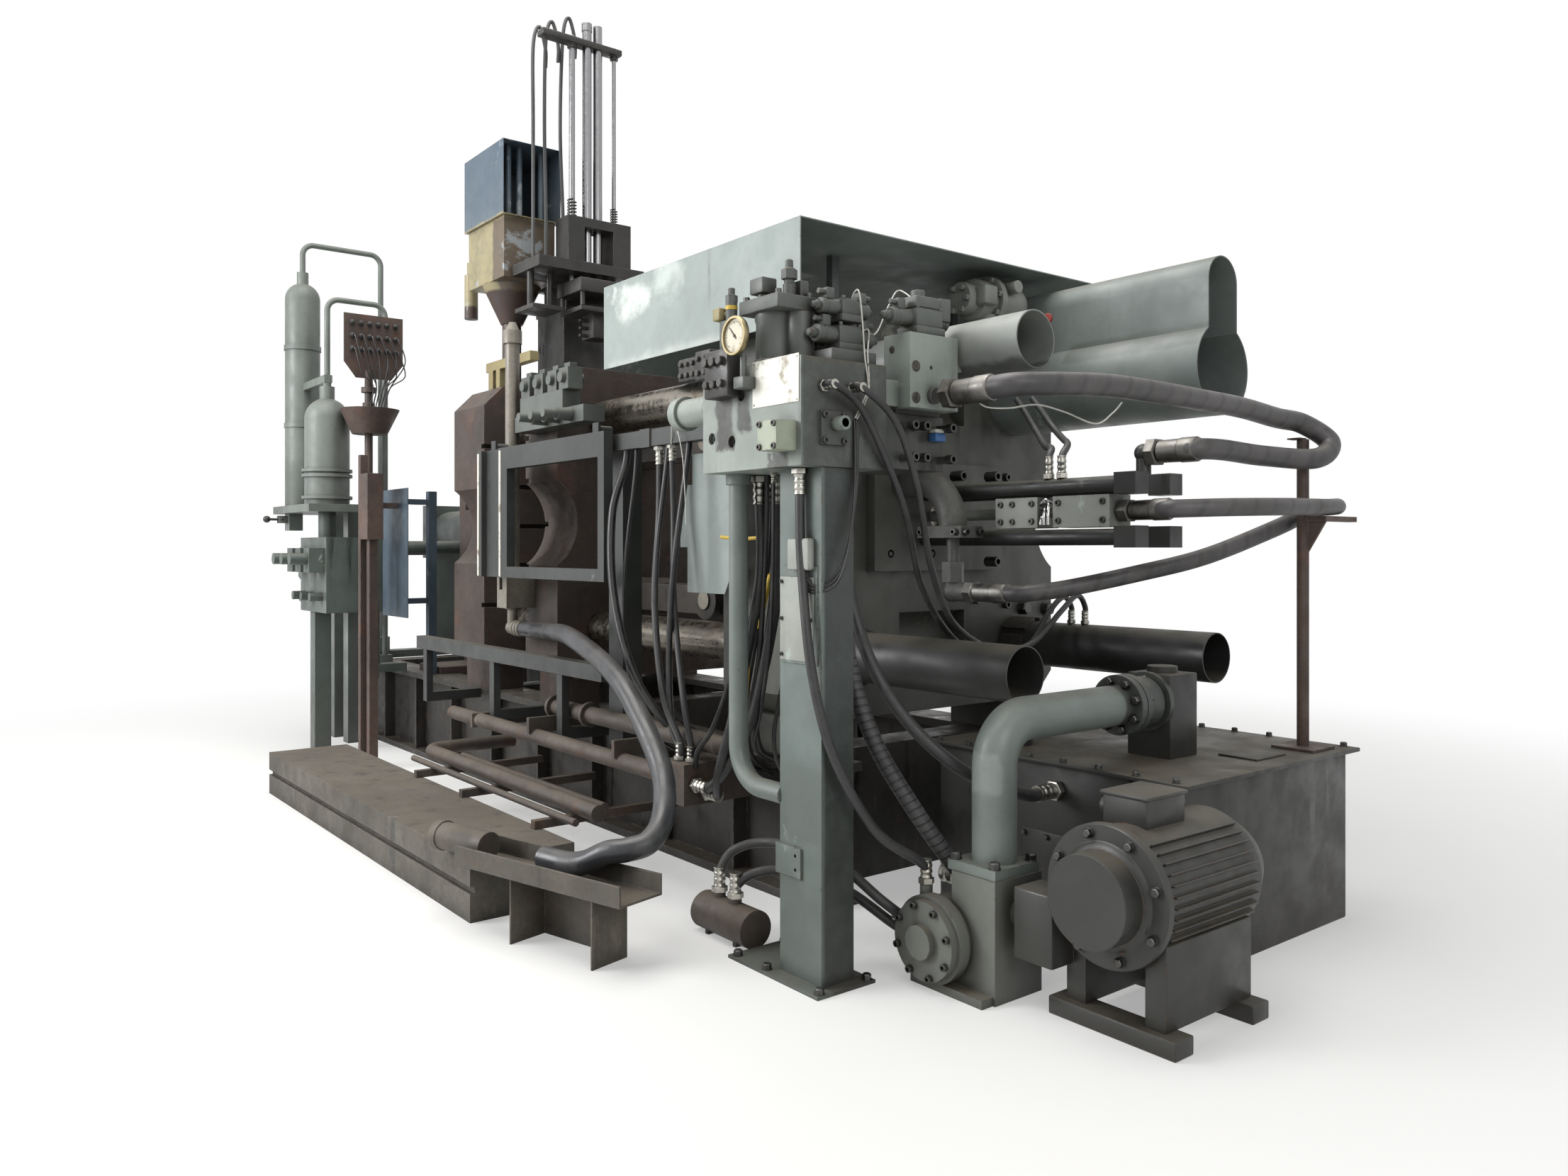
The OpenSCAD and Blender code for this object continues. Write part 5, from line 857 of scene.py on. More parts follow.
def hose(route, diameter, steps=12, sides=20):
    """A tube along the route's smooth curve, its ends square to the first and last legs."""
    route = np.asarray(route, float)
    return tube(curve(route, steps), diameter, sides, (route[1] - route[0], route[-1] - route[-2]))


show("column_hose_set", [hose(r, d, 10, 16) for d, r in column_routes] + [hose(pump_route, 60)], dark_rubber,
     replaces=("column_hoses",))
show("pump_hose_guard", hose(pump_route[1:-1], 63, 16, 20), guard_rubber)
show("valve_hose_pair", [hose(r, 26, 10, 14) for r in valve_routes], dark_rubber,
     replaces=("valve_hoses",))
show("rear_hose_pair", [hose(r, d, 14, 28) for r, d in zip(rear_routes, (84, 70))], hose_rubber,
     replaces=("rear_hoses",))
show("drain_hose_smooth", hose(drain_route, 92, 12, 28), drain_rubber, replaces=("drain_hose",))
print("hoses", made)

# %% [markdown]
# ## Air hoses beside the lift
# Three thin hoses rise beside the lift and turn down in a hook, each a little taller than the one before it. One
# route with a top that grows makes all three.

# %% Air hoses beside the lift
LIFT = -850.0
AIR_X = LIFT - 110
air_tubes = []
for i, y in enumerate((-577, -485, -359)):
    top = 5035 + 60 * i
    air_tubes.append(hose([[AIR_X, y, 3450.3], [AIR_X, y, 3800], [AIR_X, y - 10 * i, 4400], [AIR_X, y, top - 140],
                           [AIR_X, y + 45, top], [AIR_X, y + 90, top - 140], [AIR_X, y + 90, top - 260]], 24, 10, 14))
show("air_hose_set", air_tubes, grey_hose, replaces=("air_tubes",))
print("made", made[-1])

# %% [markdown]
# ## Hose ends and unions
# A hydraulic hose ends in a crimped sleeve and a hexagon nut. Both are lathed: the sleeve's profile has three
# shallow waists where the press closed on it, and the nut's rows follow a hexagon.

# %% Hose ends
def crimp(d, length):
    """A pressed sleeve: a cylinder whose radius dips in three waists."""
    z = np.linspace(0, length, 25)
    r = d * (0.5 + 0.035 * np.cos(z / length * 6 * np.pi))
    return lathe(np.stack([r, z], 1), 20)


def nut(d, height):
    """A hexagon nut: flats at radius d / 2, its top and bottom corners turned off."""
    r = d / 2
    return lathe([(r * 0.82, 0), (r, height * 0.12), (r, height * 0.88), (r * 0.82, height)], 24, six=(1, 2))


ends = []
for d, r in column_routes + [(60, pump_route)] + [(26, r) for r in valve_routes]:
    start, end = np.array(r[0], float), np.array(r[-1], float)
    a, b = unit(np.array(r[1]) - start), unit(end - np.array(r[-2]))
    ends.append(place(nut(d * 1.5, d * 0.7), start, a))
    ends.append(place(crimp(d * 1.22, d * 2.0), start + a * d * 0.7, a))
    ends.append(place(nut(d * 1.45, d * 0.7), end, -b))
    ends.append(place(crimp(d * 1.2, d * 1.8), end - b * d * 0.7, -b))
show("hose_end_fittings", ends, zinc)
sleeves = []
for r, d in zip(rear_routes, (84, 70)):
    for p, q in ((r[0], r[1]), (r[-1], r[-2])):
        out_of = unit(np.array(q) - np.array(p))
        at = np.array(p) - out_of * 156
        half = d / 2
        sleeve = lathe([(half * 0.98, 56), (half + 4, 60), (half + 5, 150), (half + 8, 154), (half + 8, 218),
                        (half + 4, 226), (half, 228)], 36)
        sleeves.append(place(sleeve, at, out_of))
        sleeves.append(place(nut(d * 1.22, 52), at + out_of * 2, out_of))
show("big_hose_sleeves", sleeves, dull_sleeve)
print("made", made[-2:])

# %% [markdown]
# ## Screws
# Hydraulic blocks are held by socket head cap screws. One screw is a lathe with a hexagon hole, and its
# copies are the same points turned and moved. Where a face has many, the list below gives only their centres.

# %% Screws
def cap_screw(d, height=None):
    """A socket head: up the side, over the rounded rim, across to the hexagon and down into it."""
    r, h = d / 2, height or d * 0.66
    return lathe([(r, 0), (r, h * 0.86), (r * 0.93, h), (r * 0.52, h), (r * 0.50, h * 0.45)], 24, six=(3, 4))


def hex_bolt(d):
    """A hexagon head on its washer."""
    r = d / 2
    return lathe([(r * 1.25, 0), (r * 1.25, d * 0.12), (r, d * 0.12), (r, d * 0.62), (r * 0.84, d * 0.74)], 24,
                 six=(2, 3))


def screws(shape, points, axis):
    return [place(shape, p, axis, turn=0.37 * i) for i, p in enumerate(points)]


flat_heads = [(2160, y, z) for y, z in ((250, 1930), (520, 1915), (300, 1300), (520, 1270))]
tall_heads = [(2160, y, z) for z in (1905, 1530) for y in (-330, -60)]
block_screws = screws(cap_screw(40), flat_heads, RIGHT) + screws(cap_screw(40, 60), tall_heads, RIGHT)
block_screws += screws(cap_screw(30), [(2650, y, 1625) for y in (-305, -215)], RIGHT)
block_screws += screws(cap_screw(30), [(x, -330, 1625) for x in (2420, 2620)], FRONT)
block_screws += screws(cap_screw(26, 10), [(x, -130, z) for x in (2700, 2765, 2870) for z in (1668, 1742)], FRONT)
block_screws += screws(cap_screw(26, 10), [(x, -130, z) for x in (3010, 3230) for z in (1668, 1742)], FRONT)
block_screws += screws(cap_screw(24, 10), [(2985, y, z) for y in (-1372, -1283) for z in (1930, 2020)], RIGHT)
block_screws += screws(cap_screw(22, 8), [(x, -1555, z) for x in (2852, 2934) for z in (1904, 1982)], FRONT)
show("block_screws", block_screws, black_screw)
ring_bolts = []
for k in range(8):
    a = k * math.pi / 4 + 0.3
    ring_bolts += [place(hex_bolt(30), (3310 + 96 * math.cos(a), -150, 940 + 96 * math.sin(a)), FRONT)]
    ring_bolts += [place(nut(30, 22), (3310 + 96 * math.cos(a), -80, 940 + 96 * math.sin(a)), BACK)]
    ring_bolts += [place(cap_screw(26), (3170 + 125 * math.cos(a), -1080, 175 + 125 * math.sin(a)), FRONT)]
    ring_bolts += [place(hex_bolt(28), (3800 + 200 * math.cos(a), -900, 450 + 200 * math.sin(a)), FRONT)]
for x, y in ((3215, -958), (3395, -958), (3215, -768), (3395, -768)):
    ring_bolts += [place(hex_bolt(34), (x, y, 456), UP)]
for x, y in ((2690, -1400), (2990, -1400), (2690, -1180), (2990, -1180), (2510, -1400), (2510, -1180)):
    ring_bolts += [place(hex_bolt(30), (x, y, 12), UP)]
show("flange_bolts", ring_bolts, black_screw)
print("pieces", len(made), "triangles", sum(t for _, t in made))

# %% [markdown]
# ## Covers over the tie bars
# The ends of the tie bars run in open sheet tubes. The far upper one is a chamber with a round foot, a neck and
# a round top, like a keyhole. Its outline is one closed line; the inside is the same line one wall further in,
# and both are drawn out along the bar.

# %% Tie bar covers
TIE_Y, AXIS_Z, TIE_Z = 590, 1705, 625
NUT_END = 2310


def chamber(drum, neck, rise, x0, x1, wall, y, z, n=48):
    """A keyhole line drawn out along X: cap (n cos a, up + n sin a), then the foot's long arc r (cos a, sin a)."""
    rows = []
    for shrink, x in ((0, x0), (0, x1), (wall, x1), (wall, x0)):
        r, half = drum / 2 - shrink, neck / 2 - shrink
        base = math.asin(half / r)
        a = np.linspace(0, math.pi, n)
        b = np.linspace(math.pi / 2 + base, 2.5 * math.pi - base, 2 * n)
        across = np.concatenate([half * np.cos(a), r * np.cos(b)])
        up = np.concatenate([rise - neck / 2 + half * np.sin(a), r * np.sin(b)])
        rows.append(np.stack([np.full(3 * n, float(x)), y + across, z + up], 1))
    return np.concatenate(rows), [grid_faces(4, 3 * n, True)]


show("near_upper_cover_tube", pipe((NUT_END, -TIE_Y, AXIS_Z + TIE_Z), (3270, -TIE_Y, AXIS_Z + TIE_Z), 219, 5),
     tube_paint, replaces=("near_upper_cover",))
show("near_lower_cover_tube", pipe((NUT_END, -TIE_Y, AXIS_Z - TIE_Z), (3222, -TIE_Y, AXIS_Z - TIE_Z), 219, 5),
     dark_paint, replaces=("near_lower_cover",))
show("far_lower_cover_tube", pipe((NUT_END, TIE_Y, AXIS_Z - TIE_Z), (3290, TIE_Y, AXIS_Z - TIE_Z), 219, 5),
     dark_paint, replaces=("far_lower_cover",))
show("far_upper_cover_chamber", chamber(400, 224, 486, 2160, 3320, 5, TIE_Y, AXIS_Z + TIE_Z), cover_paint,
     replaces=("far_upper_cover",))
print("covers 219 mm wide, chamber 400 mm")

# %% [markdown]
# ## The rear block and its bridge
# Behind the near block, a bridge carries a second block, with a port for the upper big hose. Six long socket
# screws stand out of the bridge. Corners are rounded by a few millimetres, because a sharp corner catches no light.

# %% Rear block
rear = [soft_box([2854, -970, 2075], [2998, -715, 2355], 4, 2),
        soft_box([2866, -716, 2236], [2962, -655, 2322], 4, 2),
        soft_box([2890, -1072, 2082], [2934, -968, 2180], 4, 2)]
show("rear_block", rear, block_paint, replaces=("rear_manifold",))
bridge = [soft_box([2640, -1066, 1850], [2920, -715, 2060], 4, 2),
          soft_box([2864, -960, 2058], [2910, -726, 2078], 1),
          rod((2160, -805, 1955), (2642, -805, 1955), 110), rod((2160, -805, 1955), (2196, -805, 1955), 180),
          rod((2997, -853.5, 2124), (3018, -853.5, 2124), 62)]
bridge_holes = [(y, z) for y in (-940, -880, -741) for z in (2012, 1893)]
bridge += [rod((2919, y, z), (2972, y, z), 30) for y, z in bridge_holes]
show("block_bridge", bridge, bridge_paint)
big_port = lathe([(20, 0), (21, 1.6), (16, 2.2), (14, 1), (12, 0.8)], 28)
small_port = lathe([(7, 0), (7.5, 1), (4, 1)], 16)
side_port = lathe([(12, 0), (13, 2), (6, 2)], 20)
ports = [place(big_port, (2998, -941, z), RIGHT) for z in (2229, 2112)]
ports += [place(small_port, (2998, y, z), RIGHT) for y, z in ((-862, 2230), (-740, 2100))]
ports += [place(side_port, (2900, -970, z), FRONT) for z in (2150, 2300)]
show("block_ports", ports, dark_iron)
bridge_screws = [place(cap_screw(36, 30), (2970, y, z), RIGHT, 0.4 * k) for k, (y, z) in enumerate(bridge_holes)]
bridge_screws += [place(cap_screw(26, 16), (x, -685, 2322), UP) for x in (2890, 2940)]
bridge_screws += [place(cap_screw(48, 70), (2328, y, z), RIGHT, 0.3)
                  for y, z in ((-35, 1890), (199, 1896), (199, 1492))]
bridge_screws += [place(hex_bolt(58), (2160, y, z), RIGHT, 0.2)
                  for y, z in ((651, 1249), (835, 1238), (-760, 1400))]
show("bridge_screws", bridge_screws, black_screw)
show("connector_plug", soft_box([2922, -800, 1962], [2962, -744, 1994], 5, 2), blue_plug)
show("connector_top", soft_box([2922, -796, 1994], [2958, -748, 2010], 4, 2), white_cable)
print("made", made[-6:])

# %% [markdown]
# ## Valves on the blocks
# A directional valve is a cast body with a round solenoid at each end, a nut that holds the coil and a square
# plug with a cable gland. Under the dust it's all one grey. A function places such a valve with its solenoids
# along Y, as on the machine.

# %% Valves
def coil(d, length):
    """A solenoid: a collar, a moulded barrel with one groove, and the nut that holds it."""
    r = d / 2
    z = np.array([0, 0.04, 0.05, 0.52, 0.54, 0.60, 0.62, 0.86, 0.90, 0.91, 1.08, 1.10, 1.22, 1.24]) * length
    w = np.array([0.92, 1.0, 1.0, 1.0, 0.93, 0.93, 1.0, 1.0, 0.90, 0.56, 0.56, 0.40, 0.40, 0.30]) * r
    return lathe(np.stack([w, z], 1), 28)


def valve(x, y, z, width=92, length=120, tall=96, coils=((-1, 66, 92), (1, 66, 92)), plugs=True):
    """A valve body standing at z with solenoids along Y and a plug on top of each."""
    low = np.array([x - width / 2, y - length / 2, z])
    shapes = [soft_box(low, low + [width, length, tall * 0.32], 4, 2),
              soft_box(low + [6, 6, tall * 0.30], low + [width - 6, length - 6, tall], 8, 2)]
    for s, d, reach in coils:
        foot = np.array([x, y + s * (length / 2 - 7), z + tall * 0.62])
        shapes.append(place(coil(d, reach), foot, (0, s, 0)))
        if plugs:
            mid = foot + [0, s * reach * 0.45, d * 0.42]
            shapes.append(soft_box(mid - [19, 19, 0], mid + [19, 19, 42], 6, 2))
            shapes.append(rod(mid + [0, s * 15, 26], mid + [0, s * 46, 26], 21))
    for sx in (-1, 1):
        for sy in (-1, 1):
            corner = (x + sx * (width / 2 - 13), y + sy * (length / 2 - 15), z + tall - 3)
            shapes.append(place(cap_screw(15, 12), corner, UP))
    return shapes


TOP = 2220
stack = [soft_box([2690, -1300, TOP], [2940, -1085, TOP + 48], 4, 2)]
stack += valve(2752, -1190, TOP + 48, coils=((-1, 66, 104), (1, 62, 84)))
stack += valve(2868, -1180, TOP + 48, coils=((-1, 66, 96), (1, 62, 84)))
stack += valve(2752, -1186, TOP + 158, 86, 96, 84, coils=((-1, 60, 100),))
stack += valve(2868, -1176, TOP + 158, 86, 96, 84, coils=((-1, 58, 92), (1, 58, 70)))
stack += valve(2926, -842, 2355, 110, 150, 104, coils=((-1, 66, 110), (1, 64, 60)))
stack += [soft_box([2874, -916, 2458], [2976, -786, 2502], 8, 2), rod((2925, -860, 2500), (2925, -860, 2530), 54),
          soft_box([2884, -780, 2420], [2968, -722, 2508], 7, 2)]
stack += [rod((2690, -1150, 2470), (2620, -1150, 2470), 40), rod((2640, -1150, 2470), (2600, -1150, 2470), 26)]
show("valve_stack", stack, valve_paint, replaces=("manifold_valves",))
print("valve shapes", len(stack))

# %% [markdown]
# ## The filter and the valve bank
# In front of the valves stands the oil filter, a cast pot under a screwed lid with a tall fitting. On the block's
# front sits a dark bank of small valves with round knobs. TOP is the height of the block's upper face. Each cast
# or turned form is made once as a lathe and then placed.

# %% Filter and valve bank
pot = lathe([(82, 0), (82, 16), (72, 22), (70, 156), (75, 170), (75, 195)], 44)
side_pot = lathe([(58, 0), (58, 10), (52, 16), (52, 190)], 36)
tall_fitting = lathe([(24, 0), (24, 50), (19, 54), (19, 66), (26, 70), (26, 104), (15, 112), (14, 138), (9, 142)],
                     24, six=(4, 5))
stem_nut = lathe([(20, 0), (20, 26), (13, 30), (13, 52), (10, 54)], 24, six=(0, 1))
body = [place(pot, (2700, -1370, TOP), UP), place(side_pot, (2786, -1320, TOP), UP),
        soft_box([2600, -1462, TOP + 190], [2836, -1280, TOP + 242], 5, 2),
        soft_box([2636, -1440, TOP + 264], [2716, -1372, TOP + 322], 6, 2),
        rod((2676, -1406, TOP + 240), (2676, -1406, TOP + 268), 40),
        place(tall_fitting, (2772, -1360, TOP + 240), UP),
        soft_box([2742, -1330, TOP + 240], [2800, -1290, TOP + 308], 5, 2),
        soft_box([2522, -1496, 2284], [2592, -1432, 2400], 6, 2), rod((2557, -1464, 2399), (2557, -1464, 2470), 44),
        place(stem_nut, (2557, -1464, 2468), UP),
        soft_box([2650, -1524, TOP - 90], [2712, -1464, TOP - 46], 5, 2),
        rod((2680, -1500, TOP - 50), (2680, -1500, 2255), 24)]
bank = [soft_box([2472, -1530, 2110], [2622, -1464, 2286], 6, 2),
        soft_box([2376, -1508, 2194], [2476, -1450, 2304], 6, 2),
        soft_box([2250, -1502, 2202], [2380, -1446, 2290], 6, 2)]
bank += [rod((2500 + 46 * k, -1529, 2242), (2500 + 46 * k, -1553, 2242), 34) for k in range(3)]
bank += [rod((2500 + 46 * k, -1529, 2158), (2500 + 46 * k, -1549, 2158), 30) for k in range(3)]
bank += [rod((2276 + 40 * k, -1501, z), (2276 + 40 * k, -1514, z), 22) for k in range(3) for z in (2224, 2268)]
bank += [rod((2402 + 44 * k, -1507, z), (2402 + 44 * k, -1520, z), 24) for k in range(2) for z in (2220, 2276)]
show("filter_body", body, valve_paint)
show("valve_bank", bank, dark_iron)
lid_screws = screws(cap_screw(24), [(x, y, TOP + 242) for x in (2622, 2814) for y in (-1442, -1300)], UP)
show("lid_screws", lid_screws, black_screw)
show("cream_valve_cube", [soft_box([2489, -1504, 2403], [2535, -1458, 2449], 5, 2),
                          rod((2534, -1474, 2426), (2552, -1470, 2426), 24)], yellow_paint)
tape = lathe([(23, 0), (23, 15), (18, 15), (18, 0)], 28, ring=True)
show("yellow_band", place(tape, (2557, -1464, 2440), UP), yellow_sleeve)
knob = [rod((2984, -1323, 1990), (3014, -1323, 1990), 46), rod((3012, -1323, 1990), (3040, -1323, 1990), 36)]
show("port_knob", knob, pipe_chrome)
print("made", made[-6:])

# %% [markdown]
# ## The cast prefill valve
# High on the rear platen sits a big cast valve. It's a body of revolution along Y: a flange ring with eight
# bolts, a barrel and a dome, plus a neck down to the platen. One lathe gives the body, and two rings of bolts and
# one of ribs are the same small shape set round the axis by angle.

# %% Prefill valve
px, py, pz = 2322, 200, 2730
dome = np.linspace(0, np.pi / 2, 9)
shell = [(70, -190), (74, -184), (74, -120), (96, -112), (100, -104), (100, -24), (124, -20), (124, 12), (100, 16),
         (100, 150)]
shell += [(100 * math.cos(a), 150 + 92 * math.sin(a)) for a in dome[1:-1]] + [(8, 242)]
prefill = [place(lathe([(r, -h) for r, h in shell][::-1], 44), (px, py, pz), FRONT),
           soft_box([2160, py - 100, 2500], [2400, py + 100, 2570], 6, 2),
           place(lathe([(104, 0), (104, 12), (84, 34), (80, 60), (92, 92)], 36), (px, py, 2568), UP),
           rod((px + 60, py + 60, pz + 60), (px + 150, py + 60, pz + 60), 60),
           soft_box([px + 60, py - 150, pz - 40], [px + 130, py - 60, pz + 50], 12, 2)]
for size, count, reach, y, z, first in ((26, 8, 110, py - 22, pz, 0.2), (24, 6, 58, py - 190, pz - 8, 0.0)):
    for a in np.arange(count) * 2 * math.pi / count + first:
        prefill.append(place(hex_bolt(size), (px + reach * math.cos(a), y, z + reach * math.sin(a)), FRONT))
for a in np.arange(6) * math.pi / 3 + 0.4:
    rib_x, rib_z = px + 84 * math.cos(a), pz + 84 * math.sin(a)
    prefill.append(soft_box([rib_x - 10, py + 20, rib_z - 10], [rib_x + 10, py + 140, rib_z + 10], 6))
show("prefill_casting", prefill, prefill_paint, replaces=("prefill_valve",))
cap = lathe([(21, 0), (22, 3), (22, 26), (18, 32), (8, 33)], 24)
show("red_end_cap", place(cap, (2610, 300, 2620), (0.6, -0.8, 0)), red_cap)
show("cap_fitting", [rod((2400, 300, 2620), (2612, 300, 2620), 34), rod((2500, 300, 2560), (2500, 300, 2620), 30),
                     soft_box([2470, 272, 2588], [2530, 328, 2648], 8, 2)], zinc)
print("made", made[-3:])

# %% [markdown]
# ## The spray lift
# Two chromed tubes carry the spray head between two guide rods. Their shine is streaked along the tube, and a
# spring sits on each rod as a buffer. A spring is a tube carried along a helix.

# %% Spray lift
def spring(at, d, wire, height, turns):
    """A helix: the angle grows evenly with the height."""
    s = np.linspace(0, 1, turns * 16)
    path = np.stack([d / 2 * np.cos(s * turns * 2 * np.pi), d / 2 * np.sin(s * turns * 2 * np.pi), height * s], 1)
    return tube(path + np.asarray(at, float), wire, 8)


lift_low, lift_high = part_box("spray_lift")
print("lift from", [round(v, 3) for v in lift_low], "to", [round(v, 3) for v in lift_high])
tubes = [rod((LIFT, y, 3320), (LIFT, y, 5098), 62, 3, 36) for y in (-236, -155)]
tubes.append(rod((LIFT, -237, 5040), (LIFT, -237, 5098), 70, 3))
show("lift_tubes", tubes, chrome, body="lift", replaces=("spray_lift",))
guides = ((-348, 40), (-29, 28))
show("lift_guide_rods", [rod((LIFT, y, 3320), (LIFT, y, 4988), d, 3, 28) for y, d in guides], chrome,
     body="lift")
head = [soft_box([-895, -580, 4930], [-805, 10, 4970], 5, 2), soft_box([-970, -400, 3240], [-630, 30, 3330], 6, 2),
        soft_box([-950, -385, 3120], [-650, 15, 3151], 4, 2), soft_box([-880, -260, 2960], [-720, -110, 3121], 6, 2)]
head += [rod((x, y, 3150), (x, y, 3242), 30) for x in (-940, -660) for y in (-370, 0)]
head += [rod((LIFT, y, 4904), (LIFT, y, 4931), d) for y, d in ((-348, 64), (-29, 56))]
head += [rod((-800, y, z), (-800, y_end, z), 24) for y, y_end in ((-259, -320), (-111, -50))
         for z in (3080, 3030, 2980)]
show("spray_head", head, dark_iron, body="lift")
springs = [spring((LIFT, -348, 3762), 56, 8, 130, 6), spring((LIFT, -29, 3762), 46, 7, 120, 7)]
show("buffer_springs", springs, black_screw, crease=60)

# %% [markdown]
# ## Oil tank and suction coupling
# The tank's lid carries a small box where the suction pipe enters, through a rubber coupling with clamps. The
# coupling's folds are a lathe whose radius jumps up and down.

# %% Tank
tank = [soft_box([2500, -300, 0], [3700, 900, 700], 8, 2), soft_box([2460, -340, 699], [3740, 940, 716], 4, 2),
        soft_box([3210, 60, 715], [3410, 250, 1050], 6, 2), rod((3310, 155, 1049), (3310, 155, 1076), 120),
        soft_box([3470, 300, 716], [3640, 520, 724], 3, 2), rod((2800, -120, 716), (2800, -120, 790), 110),
        rod((2800, -120, 788), (2800, -120, 806), 132), soft_box([2960, -302, 120], [3220, -294, 420], 3, 2)]
tank += [soft_box([x - 8, -312, 20], [x + 8, -298, 690], 4) for x in (2740, 3480)]
show("tank_body", tank, tank_paint, replaces=("oil_tank",))
tank_bolts = screws(hex_bolt(24), [(x, y, 716) for x in np.linspace(2520, 3680, 8) for y in (-318, 918)], UP)
tank_bolts += screws(hex_bolt(20), [(x, -302, z) for x in (2976, 3090, 3204) for z in (136, 404)], FRONT)
show("tank_bolts", tank_bolts, black_screw)
folds = [(88 + 9 * math.cos(k * math.pi), 14 + 10 * k) for k in range(7)]
bellows = [(82, 0), (82, 10)] + folds + [(82, 84), (82, 94)]
show("suction_bellows", place(lathe(bellows, 48), (3310, -60, 940), BACK), dark_rubber)
clamps = [place(lathe([(85, 0), (88, 1), (88, 15), (85, 16)], 48), (3310, y, 940), BACK) for y in (-62, 16)]
clamps += [soft_box([3298, y + 2, 1024], [3322, y + 14, 1044], 3) for y in (-62, 16)]
show("bellows_clamps", clamps, zinc)
print("made", made[-4:])

# %% [markdown]
# ## The motor
# An electric motor sheds its heat through ribs along its barrel. They could be an Array modifier round an empty;
# here one thin soft box is turned round the shaft by its angle, and those under the terminal box are left out.

# %% Motor
MX, MZ = 3800.0, 450.0
barrel = lathe([(150, 0), (172, 10), (188, 40), (210, 46), (210, 580), (188, 588), (180, 640), (150, 700)], 64)
motor_shapes = [place(barrel, (MX, -912, MZ), BACK),
                rod((MX, -1000, MZ), (MX, -905, MZ), 300), rod((MX, -900, MZ), (MX, -866, MZ), 460, 4, 64),
                soft_box([MX - 105, -770, MZ + 196], [MX + 65, -550, MZ + 300], 10, 2),
                soft_box([MX - 112, -776, MZ + 292], [MX + 72, -544, MZ + 306], 5, 2),
                rod((MX - 104, -700, MZ + 240), (MX - 150, -700, MZ + 240), 52),
                soft_box([3478, -960, 180], [3640, -820, 420], 8, 2)]
for a in np.arange(40) * 2 * math.pi / 40:
    if abs(math.sin(a) - 1) > 0.16:
        v, faces = soft_box([204, -840, -3], [226, -360, 3], 2)
        c, s = math.cos(a), math.sin(a)
        turned = np.stack([v[:, 0] * c - v[:, 2] * s + MX, v[:, 1], v[:, 0] * s + v[:, 2] * c + MZ], 1)
        motor_shapes.append((turned, faces))
for s in (-1, 1):
    motor_shapes.append(soft_box([MX + s * 150 - 40, -850, 60], [MX + s * 150 + 40, -360, 330], 8, 2))
for y in (-880, -440):
    motor_shapes.append(soft_box([MX - 240, y, 0], [MX + 240, y + 100, 61], 6, 2))
motor_shapes.append(place(lathe([(14, 0), (14, 20)], 20), (MX, -500, MZ + 205), UP))
round_way = np.linspace(0, 2 * np.pi, 25)
ring_path = np.stack([26 * np.cos(round_way), np.zeros(25), 26 * np.sin(round_way)], 1)
motor_shapes.append(tube(ring_path + [MX, -500, MZ + 245], 13, 12))
show("ribbed_motor", motor_shapes, dark_paint, replaces=("motor",), crease=40)
print("made", made[-1])

# %% [markdown]
# ## Cables
# Between the big hoses hang thinner ones that were added over the years. They give the machine its crowded look.
# Each is a tube along a curve through a few points, and it starts and ends in a piece of the machine: UNDER is
# the underside of the near block, BED the side of the bed beam and RAIL the middle of the guard rail.

